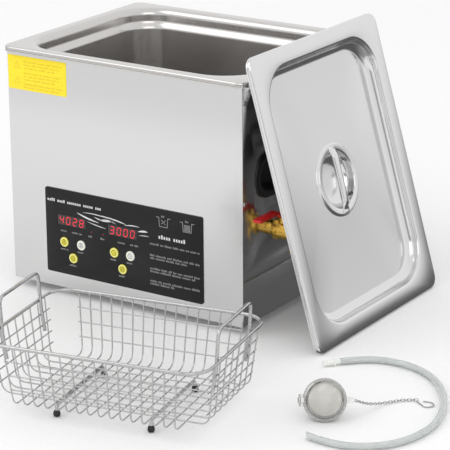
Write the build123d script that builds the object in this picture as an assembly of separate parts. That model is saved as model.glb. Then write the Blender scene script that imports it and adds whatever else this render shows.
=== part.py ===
"""Ten litre bench ultrasonic cleaner with its lid, wire basket, drain hose and mesh ball.

Millimetres, +Z up. The origin is the middle of the machine's footprint, on the bench.
-Y is the front with the control panel, +X the machine's right hand side.
"""
import os
from math import cos, radians, sin, tan

from build123d import *

# ---- driving dimensions -------------------------------------------------------------
RIM_X, RIM_Y = 325.0, 265.0          # half size gastronorm rim
RIM_Z = 286.0                        # top of the rim above the bench
RIM_CORNER = 13.0
RIM_SKIRT = 6.5                      # height of the turned down rim edge
SHEET = 1.0                          # stainless sheet
INSET = 5.0                          # casing inside the rim on every side
FOOT_H = 10.0                        # rubber feet under the casing
SEAM_Z = 62.0                        # joint between base tray and side panels
SEAM_GAP = 3.4                       # bare strip of the lap that shows in the joint
CASE_TOP = 283.8                     # casing meets the rim gasket here

TANK_X, TANK_Y = 289.0, 229.0        # tank opening above the step
TANK_CORNER = 45.0
TANK_STEP = 4.0                      # the lower tank is this much narrower per side
TANK_STEP_DEPTH = 21.0
TANK_DEPTH = 150.0
MOUTH_ROUND = 8.0                    # rounding from the flat rim into the tank

LID_DISH_X, LID_DISH_Y = 285.0, 225.0
LID_DISH_DEPTH = 14.0
LID_SKIRT = 7.0
LID_LEAN = 16.1                      # degrees off upright
LID_Y = -3.0                         # middle of the lid along Y
LID_GAP = 0.5                        # between the dish and the rim it leans on
LID_RING_D, LID_BOWL_D = 80.0, 64.0
LID_BOWL_DEPTH = 14.0

FASCIA_X, FASCIA_Z = -1.2, 77.6      # middle of the black control fascia
FASCIA_W, FASCIA_H = 215.0, 100.6
FASCIA_T = 1.2
BUTTON_D = 11.4
BUTTON_TRAVEL = 0.6

BASKET_X, BASKET_Y = 159.0, -346.0   # middle of the basket on the bench
BASKET_YAW = 10.8                    # degrees
BASKET_L, BASKET_W = 240.0, 170.0    # over the rim wire's centreline
BASKET_TAPER = 8.0                   # walls lean in this far from rim to floor
BASKET_RIM_Z = 80.0
BASKET_FLOOR_Z = 15.0
BASKET_FEET = (103.0, 109.0)         # spacing of the foot caps
RIM_WIRE, BAR_WIRE, MESH_WIRE = 4.5, 4.0, 2.0

HOSE_D, HOSE_BORE = 7.0, 5.0
FITTING_COLLAR_D, FITTING_BORE = 8.4, 3.2
HOSE_Z = FITTING_COLLAR_D / 2        # the collar rests on the bench too
HOSE_ROUTE = [(288, -141), (305, -121), (338, -110), (376, -117), (412, -147), (438, -190),
              (452, -240), (444, -288), (418, -318), (385, -328), (357, -323)]

BALL_AT = (345.8, -270.0)            # mesh ball on the bench
BALL_R, BALL_RING_R = 19.5, 22.0
BALL_TILT = 28.0                     # its ring faces this far above the horizon
BALL_TURN = 33.4                     # and this far round from straight ahead
CHAIN_D = 3.4
CHAIN_ROUTE = [(373, -237, 10), (376, -220, 4.2), (382, -204, 1.8), (391, -191, 1.8),
               (402, -184, 1.8)]
HOOK_WIRE = 1.6
HOOK_ROUTE = [(403, -185), (418, -195), (425, -187), (418, -180), (409, -182)]

# ---- worked out ----------------------------------------------------------------------
CASE_X = RIM_X / 2 - INSET           # outer faces of the casing
CASE_Y = RIM_Y / 2 - INSET
FRONT = -CASE_Y
REAR = CASE_Y
LOW_X, LOW_Y = TANK_X - 2 * TANK_STEP, TANK_Y - 2 * TANK_STEP
TANK_FLOOR = RIM_Z - TANK_DEPTH
STEP_Z = RIM_Z - TANK_STEP_DEPTH

os.makedirs("parts", exist_ok=True)
NODES = {}


def node(name, *solids):
    """Keep one named piece; several solids stay separate inside it."""
    NODES[name] = solids[0] if len(solids) == 1 else Compound(children=list(solids))


def slab(size_x, size_y, height, corner, z=0.0, x=0.0, y=0.0):
    """Upright prism with rounded corners, standing on height z."""
    outline = RectangleRounded(size_x, size_y, corner)
    return Pos(x, y, z) * extrude(outline, height)


def block(x0, x1, y0, y1, z0, z1):
    """Box between two opposite corners."""
    middle = Pos((x0 + x1) / 2, (y0 + y1) / 2, (z0 + z1) / 2)
    return middle * Box(x1 - x0, y1 - y0, z1 - z0)


def rod(start, end, diameter):
    """Round bar between two points."""
    line = Edge.make_line(start, end)
    return sweep(Plane(start, z_dir=line % 0) * Circle(diameter / 2), line)


def rod_y(x, z, y0, y1, diameter):
    """Round bar along Y."""
    return rod((x, y0, z), (x, y1, z), diameter)


def rod_x(x0, x1, diameter):
    """Round bar along X on the drain valve's axis."""
    return rod((x0, DRAIN_Y, DRAIN_Z), (x1, DRAIN_Y, DRAIN_Z), diameter)


def route(points, label):
    """Straight runs joined by arcs that are as large as the runs allow."""
    spots = [Vector(*p) for p in points]
    radii = []
    for before, here, after in zip(spots, spots[1:], spots[2:]):
        turn = (here - before).get_angle(after - here)
        shorter = min((here - before).length, (after - here).length)
        radii.append(0.45 * shorter / tan(radians(turn / 2)))
    print(label, "bend radii", [round(r, 1) for r in radii])
    return FilletPolyline(*spots, radius=radii)


def tube(path, diameter, bore=0.0):
    """Round tube or bar along a path."""
    start = Plane(path @ 0, z_dir=path % 0)
    solid = sweep(start * Circle(diameter / 2), path)
    if bore:
        solid -= sweep(start * Circle(bore / 2), path)
    return solid


def level_edges(shape, z, half_x, half_y):
    """Edges lying at one height and inside a rectangle about the Z axis."""
    found = shape.edges().filter_by_position(Axis.Z, z - 0.01, z + 0.01)
    inside = [e for e in found if abs(e.center().X) <= half_x and abs(e.center().Y) <= half_y]
    return ShapeList(inside)


# ---- tank and casing -------------------------------------------------------------------
def rimmed_sheet(skirt, corner, top):
    """Flat rim sheet with a rounded, turned down edge, its face at height top."""
    sheet = slab(RIM_X, RIM_Y, skirt, corner, top - skirt)
    sheet = fillet(level_edges(sheet, top, RIM_X, RIM_Y), 2.4)
    inner = slab(RIM_X - 2 * SHEET, RIM_Y - 2 * SHEET, skirt - SHEET, corner - SHEET, top - skirt)
    inner = fillet(level_edges(inner, top - SHEET, RIM_X, RIM_Y), 1.4)
    return sheet - inner


def tank_pan():
    """Deep drawn tank with its rim, stacking step and drain hole."""
    pan = rimmed_sheet(RIM_SKIRT, RIM_CORNER, RIM_Z)
    pan += slab(TANK_X + 2 * SHEET, TANK_Y + 2 * SHEET, RIM_Z - STEP_Z + SHEET,
                TANK_CORNER + SHEET, STEP_Z - SHEET)
    pan = fillet(level_edges(pan, RIM_Z - SHEET, TANK_X / 2 + 2, TANK_Y / 2 + 2),
                 MOUTH_ROUND - SHEET)
    low = slab(LOW_X + 2 * SHEET, LOW_Y + 2 * SHEET, STEP_Z - TANK_FLOOR + SHEET,
               TANK_CORNER - TANK_STEP + SHEET, TANK_FLOOR - SHEET)
    pan += fillet(low.faces().sort_by(Axis.Z)[0].edges(), 11)
    pan -= slab(TANK_X, TANK_Y, TANK_STEP_DEPTH + 1, TANK_CORNER, STEP_Z)
    pan = fillet(level_edges(pan, RIM_Z, TANK_X / 2 + 0.1, TANK_Y / 2 + 0.1), MOUTH_ROUND)
    pocket = slab(LOW_X, LOW_Y, STEP_Z - TANK_FLOOR + 1, TANK_CORNER - TANK_STEP, TANK_FLOOR)
    pan -= fillet(pocket.faces().sort_by(Axis.Z)[0].edges(), 10)
    return pan - Pos(DRAIN_X, DRAIN_Y, TANK_FLOOR) * Cylinder(PIPE_BORE / 2, 6)


def stadium_x(x0, x1, y, z, length, height):
    """Prism along X with an upright stadium outline, long along Y."""
    outline = SlotOverall(length, height)
    face = Plane((x0, y, z), x_dir=(0, 1, 0), z_dir=(1, 0, 0)) * outline
    return extrude(face, x1 - x0)


CUP_Y, CUP_Z = -42.0, 172.0
CUP_L, CUP_H, CUP_DEPTH = 120.0, 51.0, 12.0


def handle_cup(side):
    """Recessed grip cup in a side panel, with a proud lip."""
    lip = stadium_x(CASE_X, CASE_X + 1.6, CUP_Y, CUP_Z, CUP_L, CUP_H)
    shell = stadium_x(CASE_X - CUP_DEPTH - 1.5, CASE_X, CUP_Y, CUP_Z, CUP_L - 11, CUP_H - 11)
    pocket = stadium_x(CASE_X - CUP_DEPTH, CASE_X + 2, CUP_Y, CUP_Z, CUP_L - 15, CUP_H - 15)
    cup = lip + shell - pocket
    return cup if side > 0 else mirror(cup, about=Plane.YZ)


def side_panel(side):
    """Side sheet above the seam, with the opening for its grip cup."""
    panel = block(CASE_X - SHEET, CASE_X, FRONT + SHEET, REAR - SHEET, SEAM_Z + SEAM_GAP / 2,
                  CASE_TOP)
    panel -= stadium_x(CASE_X - 5, CASE_X + 5, CUP_Y, CUP_Z, CUP_L - 10.6, CUP_H - 10.6)
    if side > 0:
        return panel - rod_x(CASE_X - 3, CASE_X + 3, PIPE_D + 1)
    return mirror(panel, about=Plane.YZ)


PIPE_D, PIPE_BORE = 16.0, 12.0
DRAIN_X, DRAIN_Y, DRAIN_Z = 112.0, -74.0, 112.0
VALVE_SEAT = CASE_X + 8.5             # where the pipe ends and the valve starts
VALVE_X = VALVE_SEAT + 11.5           # middle of the valve's ball
VALVE_END = VALVE_X + 20.5
SPOUT_X, SPOUT_D = VALVE_X + 13.0, 13.0
OUTLET_Z = DRAIN_Z - 25.0             # lower end of the spout
OUTLET_L, OUTLET_BORE = 14.0, 6.4     # push-in seat for the hose fitting
LEVER_RISE, LEVER_UP, LEVER_T = 15.0, 8.0, 3.1
LEVER_REACH, LEVER_W = 57.0, 10.0
FAN_X, FAN_Z, FAN_SIZE, FAN_T = 20.0, 74.0, 60.0, 20.0
INLET_X, INLET_Z = 112.0, 46.0
SWITCH_X, SWITCH_Z = 112.0, 92.0
DISPLAYS = {"left": (-72.4, 91.7), "right": (-1.8, 91.7)}
DISPLAY_W, DISPLAY_H = 40.0, 12.0
LEDS = [(-45.2, 84.0), (-28.7, 84.0)]
BUTTONS = {
    "temp_up_button": (-83.1, 65.8), "temp_down_button": (-59.3, 65.8),
    "heat_power_button": (-70.9, 48.2), "time_up_button": (-13.2, 65.8),
    "time_down_button": (9.1, 65.8), "sonic_power_button": (-2.0, 48.2),
}


def front_panel():
    """Front sheet from the rim to the bottom, cut for displays, lamps and buttons."""
    panel = block(-CASE_X, CASE_X, FRONT, FRONT + SHEET, FOOT_H, CASE_TOP)
    corners = panel.edges().filter_by(Axis.Z).sort_by(Axis.Y)[:2]
    panel = fillet(corners, SHEET * 0.9)
    for x, z in DISPLAYS.values():
        panel -= block(x - 21, x + 21, FRONT - 1, FRONT + 2, z - 7, z + 7)
    for x, z in LEDS:
        panel -= rod_y(x, z, FRONT - 1, FRONT + 2, 3.4)
    for x, z in BUTTONS.values():
        panel -= rod_y(x, z, FRONT - 1, FRONT + 2, BUTTON_D + 1.2)
    return panel


def rear_panel():
    """Rear sheet with fan slots and the holes for inlet and switch."""
    panel = block(-CASE_X, CASE_X, REAR - SHEET, REAR, FOOT_H, CASE_TOP)
    for column in range(-3, 4):
        half = (FAN_SIZE / 2 - 4) * cos(radians(column * 17))
        x = FAN_X + column * 7.5
        panel -= block(x - 2, x + 2, REAR - 2, REAR + 1, FAN_Z - half, FAN_Z + half)
    panel -= block(INLET_X - 14, INLET_X + 14, REAR - 3, REAR + 3, INLET_Z - 10, INLET_Z + 10)
    panel -= block(SWITCH_X - 9.5, SWITCH_X + 9.5, REAR - 3, REAR + 3, SWITCH_Z - 12.5, SWITCH_Z + 12.5)
    return panel


def base_tray():
    """Bottom plate with a folded skirt and a stepped lap on each side."""
    inside = SHEET + 0.2
    tray = block(-CASE_X, CASE_X, FRONT + inside, REAR - inside, FOOT_H, FOOT_H + SHEET)
    for side in (-1, 1):
        x0, x1 = sorted((side * CASE_X, side * (CASE_X - SHEET)))
        tray += block(x0, x1, FRONT + inside, REAR - inside, FOOT_H, SEAM_Z - SEAM_GAP / 2)
        x0, x1 = sorted((side * (CASE_X - SHEET), side * (CASE_X - 2 * SHEET)))
        tray += block(x0, x1, FRONT + inside, REAR - inside, SEAM_Z - 8, SEAM_Z + 8)
    for column in range(-4, 5):
        tray -= block(column * 12 - 2, column * 12 + 2, -30, 30, FOOT_H - 1, FOOT_H + 2)
    return tray


def casing():
    node("tank_pan", tank_pan())
    node("front_panel", front_panel())
    node("rear_panel", rear_panel())
    node("left_side_panel", side_panel(-1))
    node("right_side_panel", side_panel(1))
    node("handle_cups", handle_cup(-1), handle_cup(1))
    node("base_tray", base_tray())
    gasket = slab(2 * CASE_X, 2 * CASE_Y, RIM_Z - SHEET - CASE_TOP, 10, CASE_TOP)
    gasket -= slab(2 * CASE_X - 8, 2 * CASE_Y - 8, 5, 6, CASE_TOP - 1)
    node("rim_gasket", gasket)
    foot = fillet(Cylinder(10, FOOT_H).edges().sort_by(Axis.Z)[0], 1.5)
    spots = [(x, y) for x in (-112, 112) for y in (-84, 84)]
    node("rubber_feet", *[Pos(x, y, FOOT_H / 2) * foot for x, y in spots])
    screws = []
    for side in (-1, 1):
        for y in (FRONT + 4.5, REAR - 4.5):
            for z in (34.0, 150.0, 262.0):
                x0, x1 = sorted((side * CASE_X, side * (CASE_X + 1.2)))
                screws.append(fillet(rod((x0, y, z), (x1, y, z), 5.4).edges().sort_by(Axis.X)[
                    -1 if side > 0 else 0], 0.8))
    node("case_screws", *screws)


# ---- front controls --------------------------------------------------------------------
def controls():
    outer = FRONT - FASCIA_T
    outline = RectangleRounded(FASCIA_W, FASCIA_H, 2.5)
    face = Plane((FASCIA_X, FRONT, FASCIA_Z), x_dir=(1, 0, 0), z_dir=(0, -1, 0)) * outline
    fascia = extrude(face, FASCIA_T)
    for x, z in DISPLAYS.values():
        fascia -= block(x - DISPLAY_W / 2, x + DISPLAY_W / 2, outer - 1, FRONT + 1,
                        z - DISPLAY_H / 2, z + DISPLAY_H / 2)
    for x, z in LEDS:
        fascia -= rod_y(x, z, outer - 1, FRONT + 1, 2.6)
    for x, z in BUTTONS.values():
        fascia -= rod_y(x, z, outer - 1, FRONT + 1, BUTTON_D + 0.6)
    node("control_fascia", fascia)
    modules = [block(x - 19.9, x + 19.9, FRONT - 0.9, FRONT + 5.9, z - 5.9, z + 5.9)
               for x, z in DISPLAYS.values()]
    node("display_modules", *modules)
    lamps = [rod_y(x, z, FRONT - 1.1, FRONT + 5.9, 2.4) for x, z in LEDS]
    node("indicator_lamps", *lamps)
    for name, (x, z) in BUTTONS.items():
        cap = rod_y(x, z, outer - 0.9, FRONT + 3.5, BUTTON_D)
        node(name, fillet(cap.edges().sort_by(Axis.Y)[0], 0.5))
    board = block(-106, 26, FRONT + 5.9, FRONT + 7.5, 34, 104)
    node("display_board", board)
    label = Plane((-115.5, FRONT, 256.4), x_dir=(1, 0, 0), z_dir=(0, -1, 0))
    node("front_label", extrude(label * RectangleRounded(81.8, 39.2, 1.5), 0.3))


# ---- working parts inside ----------------------------------------------------------------
TRANSDUCERS = [(x, y) for x in (-62.0, 62.0) for y in (-48.0, 48.0)]
UNDER_TANK = TANK_FLOOR - SHEET


def stack(height, diameter, top, bore=0.0):
    """One turned piece of a transducer stack, top face at height top."""
    piece = Cylinder(diameter / 2, height)
    if bore:
        piece -= Cylinder(bore / 2, height)
    return [Pos(x, y, top - height / 2) * piece for x, y in TRANSDUCERS]


def transducers():
    front_h, ring_h, plate_h, back_h = 20.0, 5.0, 0.4, 18.0
    level = UNDER_TANK
    front = Pos(0, 0, -front_h / 2) * Cone(19, 29, front_h)
    front -= Pos(0, 0, -front_h) * Cylinder(4.6, 24)
    node("transducer_front_masses", *[Pos(x, y, level) * front for x, y in TRANSDUCERS])
    level -= front_h
    rings = stack(ring_h, 38, level, 14) + stack(ring_h, 38, level - ring_h - plate_h, 14)
    node("piezo_rings", *rings)
    node("transducer_electrodes", *(stack(plate_h, 40, level - ring_h, 14)
                                    + stack(plate_h, 40, level - 2 * ring_h - plate_h, 14)))
    level -= 2 * (ring_h + plate_h)
    node("transducer_back_masses", *stack(back_h, 40, level, 9.2))
    bolts = []
    for x, y in TRANSDUCERS:
        shank = Pos(x, y, level + 12 - 22) * Cylinder(4.5, 44)
        head = Pos(x, y, level - back_h - 4) * Cylinder(7, 8)
        bolts.append(shank + head)
    node("transducer_bolts", *bolts)


def heater_and_sensor():
    pads = []
    wall = LOW_Y / 2 + SHEET
    for side in (-1, 1):
        y0, y1 = sorted((side * wall, side * (wall + 2.5)))
        pads.append(block(-90, 90, y0, y1, 160, 235))
    node("heater_pads", *pads)
    sensor = block(LOW_X / 2 + SHEET, LOW_X / 2 + SHEET + 5, 66, 84, 160, 172)
    node("temperature_sensor", sensor)


def electronics():
    board_z = 20.0
    board = block(-96, 40, -78, 62, board_z, board_z + 1.6)
    node("generator_board", board)
    top = board_z + 1.6
    standoffs = [Pos(x, y, (FOOT_H + SHEET + board_z) / 2) * Cylinder(3, board_z - FOOT_H - SHEET)
                 for x in (-90, 34) for y in (-72, 56)]
    node("board_standoffs", *standoffs)
    core = block(-84, -44, -64, -30, top, top + 30)
    coils = [Pos(-64, y, top + 15) * Rot(90, 0, 0) * Cylinder(13, 9) for y in (-68.5, -25.5)]
    node("output_transformer", core + coils)
    fins = block(-30, 26, 12, 46, top, top + 4)
    for column in range(8):
        x = -30 + column * 7.7
        fins += block(x, x + 2, 12, 46, top, top + 28)
    node("heat_sink", fins)
    caps = [Pos(x, -52, top + 13) * Cylinder(9, 26) for x in (-22, 0, 22)]
    node("capacitors", *caps)
    harness = []
    for index, x in enumerate((106.0, 112.0, 118.0)):
        height = 26.0 + 3 * index
        spots = [(x, REAR - 26.5, INLET_Z), (x, REAR - 44, INLET_Z - 2),
                 (x - 12, REAR - 58, height + 6), (x - 32, REAR - 72, height),
                 (40.2, REAR - 82, height - 1)]
        harness.append(tube(route(spots, f"mains wire {index}"), 2.4))
    node("mains_wires", *harness)


def fan():
    y0, y1 = REAR - SHEET - FAN_T, REAR - SHEET
    half = FAN_SIZE / 2
    frame = block(FAN_X - half, FAN_X + half, y0, y1, FAN_Z - half, FAN_Z + half)
    frame -= rod_y(FAN_X, FAN_Z, y0 - 1, y1 + 1, FAN_SIZE - 4)
    frame += rod_y(FAN_X, FAN_Z, y0, y0 + 4, 24)
    for turn in range(3):
        spoke = Rot(0, 120 * turn, 0) * block(10, half - 1, 0, 3, -2, 2)
        frame += Pos(FAN_X, y0, FAN_Z) * spoke
    frame += rod_y(FAN_X, FAN_Z, y0 + 3, y0 + 12, 4)
    node("fan_frame", frame)
    hub = rod_y(0, 0, 5, 17, 22) - rod_y(0, 0, 4.5, 13, 4.4)
    for turn in range(7):
        blade = Pos(17.6, 11, 0) * Rot(38, 0, 0) * Box(17.2, 1.6, 12)
        hub += Rot(0, 360 / 7 * turn, 0) * blade
    node("fan_rotor", Pos(FAN_X, y0, FAN_Z) * hub)


def drain():
    flange_z = UNDER_TANK - 4
    path = FilletPolyline((DRAIN_X, DRAIN_Y, flange_z), (DRAIN_X, DRAIN_Y, DRAIN_Z),
                          (VALVE_SEAT, DRAIN_Y, DRAIN_Z), radius=18)
    flange = Pos(DRAIN_X, DRAIN_Y, UNDER_TANK - 2) * Cylinder(14, 4)
    flange -= Pos(DRAIN_X, DRAIN_Y, UNDER_TANK - 2) * Cylinder(PIPE_BORE / 2, 4)
    node("drain_pipe", tube(path, PIPE_D, PIPE_BORE) + flange)
    body = rod_x(VALVE_SEAT, VALVE_END, 22)
    hexagon = Plane((VALVE_SEAT, DRAIN_Y, DRAIN_Z), x_dir=(0, 1, 0), z_dir=(1, 0, 0))
    body += extrude(hexagon * RegularPolygon(12.5, 6), 7)
    body += rod((SPOUT_X, DRAIN_Y, OUTLET_Z), (SPOUT_X, DRAIN_Y, DRAIN_Z), SPOUT_D)
    body += Pos(VALVE_X, DRAIN_Y, DRAIN_Z + 9.8) * Cylinder(7, 9.6)
    body -= rod_x(VALVE_SEAT - 1, VALVE_X, PIPE_BORE)
    body -= rod_x(VALVE_X, SPOUT_X, HOSE_BORE)
    body -= rod((SPOUT_X, DRAIN_Y, OUTLET_Z), (SPOUT_X, DRAIN_Y, DRAIN_Z + 2), HOSE_BORE)
    body -= rod((SPOUT_X, DRAIN_Y, OUTLET_Z - 1), (SPOUT_X, DRAIN_Y, OUTLET_Z + OUTLET_L),
                OUTLET_BORE)
    body -= Pos(VALVE_X, DRAIN_Y, DRAIN_Z) * Sphere(8.8)
    body -= Pos(VALVE_X, DRAIN_Y, DRAIN_Z + 14) * Cylinder(4.3, 16)
    node("valve_body", body)
    ball = Pos(VALVE_X, DRAIN_Y, DRAIN_Z) * Sphere(8.5)
    ball -= rod((VALVE_X, DRAIN_Y - 12, DRAIN_Z), (VALVE_X, DRAIN_Y + 12, DRAIN_Z), 7)
    stem = Pos(VALVE_X, DRAIN_Y, DRAIN_Z + 11.3) * Cylinder(4, 10.6)
    node("valve_ball", ball + stem)
    low, high = DRAIN_Z + LEVER_RISE, DRAIN_Z + LEVER_RISE + LEVER_UP
    tip, bend, foot = DRAIN_Y - LEVER_REACH, DRAIN_Y - 20, DRAIN_Y - 8
    side = Polyline((DRAIN_Y, low), (foot, low), (bend, high), (tip, high), (tip, high + LEVER_T),
                    (bend + 1, high + LEVER_T), (foot + 1, low + LEVER_T),
                    (DRAIN_Y, low + LEVER_T), close=True)
    start = Plane((VALVE_X - LEVER_W / 2, 0, 0), x_dir=(0, 1, 0), z_dir=(1, 0, 0))
    lever = extrude(start * make_face(side), LEVER_W)
    lever += Pos(VALVE_X, DRAIN_Y, low + LEVER_T / 2) * Cylinder(7.5, LEVER_T)
    ends = lever.edges().filter_by(Axis.Z).sort_by(Axis.Y)[:2]
    lever = fillet(ends, 2.0)
    lever -= Pos(VALVE_X, DRAIN_Y, DRAIN_Z + 14.8) * Cylinder(4.0, 3.6)
    node("valve_lever", lever)


def mains():
    housing = block(INLET_X - 13.5, INLET_X + 13.5, REAR - 26, REAR, INLET_Z - 9.7, INLET_Z + 9.7)
    flange = Plane((INLET_X, REAR, INLET_Z), x_dir=(1, 0, 0), z_dir=(0, 1, 0))
    housing += extrude(flange * RectangleRounded(50, 22, 8), 2.6)
    housing -= block(INLET_X - 12, INLET_X + 12, REAR - 15, REAR + 3, INLET_Z - 8, INLET_Z + 8)
    for offset, height in ((-7, -1.5), (0, 1.5), (7, -1.5)):
        x, z = INLET_X + offset, INLET_Z + height
        housing += block(x - 1, x + 1, REAR - 16, REAR - 2, z - 1.5, z + 1.5)
    node("mains_inlet", housing)
    frame = block(SWITCH_X - 9.3, SWITCH_X + 9.3, REAR - 18, REAR, SWITCH_Z - 12.3, SWITCH_Z + 12.3)
    frame += block(SWITCH_X - 11, SWITCH_X + 11, REAR, REAR + 2, SWITCH_Z - 14.5, SWITCH_Z + 14.5)
    frame -= block(SWITCH_X - 7.5, SWITCH_X + 7.5, REAR - 9, REAR + 3, SWITCH_Z - 10.8, SWITCH_Z + 10.8)
    node("switch_frame", frame)
    profile = Polyline((REAR - 3, -9), (REAR + 1.5, -9), (REAR + 1.2, 0), (REAR + 4.4, 9),
                       (REAR - 3, 9), (REAR - 6, 0), close=True)
    face = Plane((SWITCH_X - 7, 0, SWITCH_Z), x_dir=(0, 1, 0), z_dir=(1, 0, 0)) * make_face(profile)
    node("switch_rocker", extrude(face, 14))


# ---- lid -------------------------------------------------------------------------------
def lid_place():
    """Frame of the leaning lid: origin mid face, X down the slope, Z out of the face."""
    lean = radians(LID_LEAN)
    out = Vector(cos(lean), 0, sin(lean))
    down = Vector(sin(lean), 0, -cos(lean))
    touch = Vector(RIM_X / 2, LID_Y, RIM_Z - SHEET) + out * (LID_DISH_DEPTH + SHEET + LID_GAP)
    foot_z = LID_SKIRT * out.Z
    bottom = touch + down * ((foot_z - touch.Z) / down.Z)
    return Plane(bottom - down * (RIM_X / 2), x_dir=down, z_dir=out)


def lid():
    place = lid_place().location
    sheet = rimmed_sheet(LID_SKIRT, RIM_CORNER, 0.0)
    dish = slab(LID_DISH_X + 2 * SHEET, LID_DISH_Y + 2 * SHEET, LID_DISH_DEPTH + SHEET,
                TANK_CORNER + SHEET, -LID_DISH_DEPTH - SHEET)
    sheet += fillet(dish.faces().sort_by(Axis.Z)[0].edges(), 8)
    sheet = fillet(level_edges(sheet, -SHEET, LID_DISH_X / 2 + 2, LID_DISH_Y / 2 + 2),
                   5.0)
    bowl_top = -LID_DISH_DEPTH
    bowl = Pos(0, 0, bowl_top - (LID_BOWL_DEPTH + SHEET) / 2) * Cylinder(
        LID_BOWL_D / 2 + SHEET, LID_BOWL_DEPTH + SHEET)
    sheet += fillet(bowl.faces().sort_by(Axis.Z)[0].edges(), 11)
    pocket = slab(LID_DISH_X, LID_DISH_Y, LID_DISH_DEPTH + 1, TANK_CORNER, -LID_DISH_DEPTH)
    sheet -= fillet(pocket.faces().sort_by(Axis.Z)[0].edges(), 7)
    sheet = fillet(level_edges(sheet, 0.0, LID_DISH_X / 2 + 0.1, LID_DISH_Y / 2 + 0.1), 6.0)
    ring = Pos(0, 0, bowl_top + 1) * Cylinder(LID_RING_D / 2, 2)
    sheet += fillet(ring.faces().sort_by(Axis.Z)[-1].edges(), 1.8)
    hollow = Pos(0, 0, bowl_top + 2 - (LID_BOWL_DEPTH + 2) / 2) * Cylinder(
        LID_BOWL_D / 2, LID_BOWL_DEPTH + 2)
    sheet -= fillet(hollow.faces().sort_by(Axis.Z)[0].edges(), 10)
    node("lid_sheet", place * sheet)
    strap_z = bowl_top + 2
    strap = slab(77, 12, 2.2, 5.8, strap_z)
    strap += slab(56, 10, 5.0, 4.8, strap_z)
    node("lid_strap_handle", place * strap)


# ---- basket ----------------------------------------------------------------------------
def grid(width, top_width, height, columns, rows, wire):
    """Flat welded mesh in the XZ plane, standing on z = 0, wider at the top if asked."""
    mesh = None
    half = wire / 2
    for index in range(columns + 1):
        share = index / columns - 0.5
        low, high = share * (width - wire), share * (top_width - wire)
        bar = Polyline((low - half, 0), (low + half, 0), (high + half, height),
                       (high - half, height), close=True)
        solid = extrude(Plane.XZ * make_face(bar), half, both=True)
        mesh = solid if mesh is None else mesh + solid
    for index in range(rows + 1):
        z = half + index / rows * (height - wire)
        reach = (width + (top_width - width) * z / height) / 2
        mesh += block(-reach, reach, -half, half, z - half, z + half)
    return mesh


def basket():
    place = Location((BASKET_X, BASKET_Y, 0), (0, 0, BASKET_YAW))
    ring = slab(BASKET_L + RIM_WIRE, BASKET_W + RIM_WIRE, RIM_WIRE, 27, BASKET_RIM_Z - RIM_WIRE / 2)
    ring -= slab(BASKET_L - RIM_WIRE, BASKET_W - RIM_WIRE, 20, 22.5, BASKET_RIM_Z - 10)
    node("basket_rim_wire", place * ring)
    wall_top = BASKET_RIM_Z - RIM_WIRE / 2
    wall_low = BASKET_FLOOR_Z + MESH_WIRE / 2
    low_l, low_w = BASKET_L - 2 * BASKET_TAPER, BASKET_W - 2 * BASKET_TAPER
    lean = Vector(0, BASKET_TAPER, wall_top - wall_low)
    angle = Vector(0, 0, 1).get_angle(lean)
    inner = 26.0
    for name, turn, reach, low, columns in (
            ("basket_front_mesh", 0, BASKET_W, low_l - 2 * inner, 13),
            ("basket_right_mesh", 90, BASKET_L, low_w - 2 * inner, 7),
            ("basket_rear_mesh", 180, BASKET_W, low_l - 2 * inner, 13),
            ("basket_left_mesh", 270, BASKET_L, low_w - 2 * inner, 7)):
        rows = 4 if turn in (0, 180) else 5
        wall = grid(low + 2 * inner - 28, low + 2 * inner - 22, lean.length - 1.6, columns, rows,
                    MESH_WIRE)
        offset = reach / 2 - BASKET_TAPER + 0.4
        wall = Pos(0, -offset, wall_low + 0.8) * Rot(angle, 0, 0) * wall
        node(name, place * Rot(0, 0, turn) * wall)
    floor = Rot(-90, 0, 0) * grid(low_l - 2, low_l - 2, low_w - 2, 15, 9, MESH_WIRE)
    box = floor.bounding_box()
    floor = Pos(0, -(box.min.Y + box.max.Y) / 2, BASKET_FLOOR_Z) * floor
    node("basket_floor_mesh", place * floor)
    for side, name in ((-1, "basket_left_handle"), (1, "basket_right_handle")):
        low_x, high_x = BASKET_L / 2 - BASKET_TAPER - 3.2, BASKET_L / 2 + 3.6
        spots = [(low_x + 3.6, -42, 48), (high_x - 8.9, -42, BASKET_RIM_Z - 7),
                 (high_x - 5, -42, 112), (high_x - 5, 42, 112),
                 (high_x - 8.9, 42, BASKET_RIM_Z - 7), (low_x + 3.6, 42, 48)]
        wire = tube(FilletPolyline(*spots, radius=[60, 9, 9, 60]), BAR_WIRE)
        if side < 0:
            wire = mirror(wire, about=Plane.YZ)
        node(name, place * wire)
    rods, caps = [], []
    foot_x, foot_y = BASKET_FEET[0] / 2, BASKET_FEET[1] / 2
    rod_z = BASKET_FLOOR_Z - MESH_WIRE / 2 - BAR_WIRE / 2
    for x in (-foot_x, foot_x):
        path = FilletPolyline((x, -foot_y, 3), (x, -foot_y, rod_z), (x, foot_y, rod_z),
                              (x, foot_y, 3), radius=4.5)
        rods.append(place * tube(path, BAR_WIRE))
        for y in (-foot_y, foot_y):
            cap = Pos(x, y, 3.5) * Cylinder(3.8, 7)
            cap -= Pos(x, y, 6.0) * Cylinder(BAR_WIRE / 2, 6)
            caps.append(place * cap)
    node("basket_foot_rods", *rods)
    node("basket_foot_caps", *caps)


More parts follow.
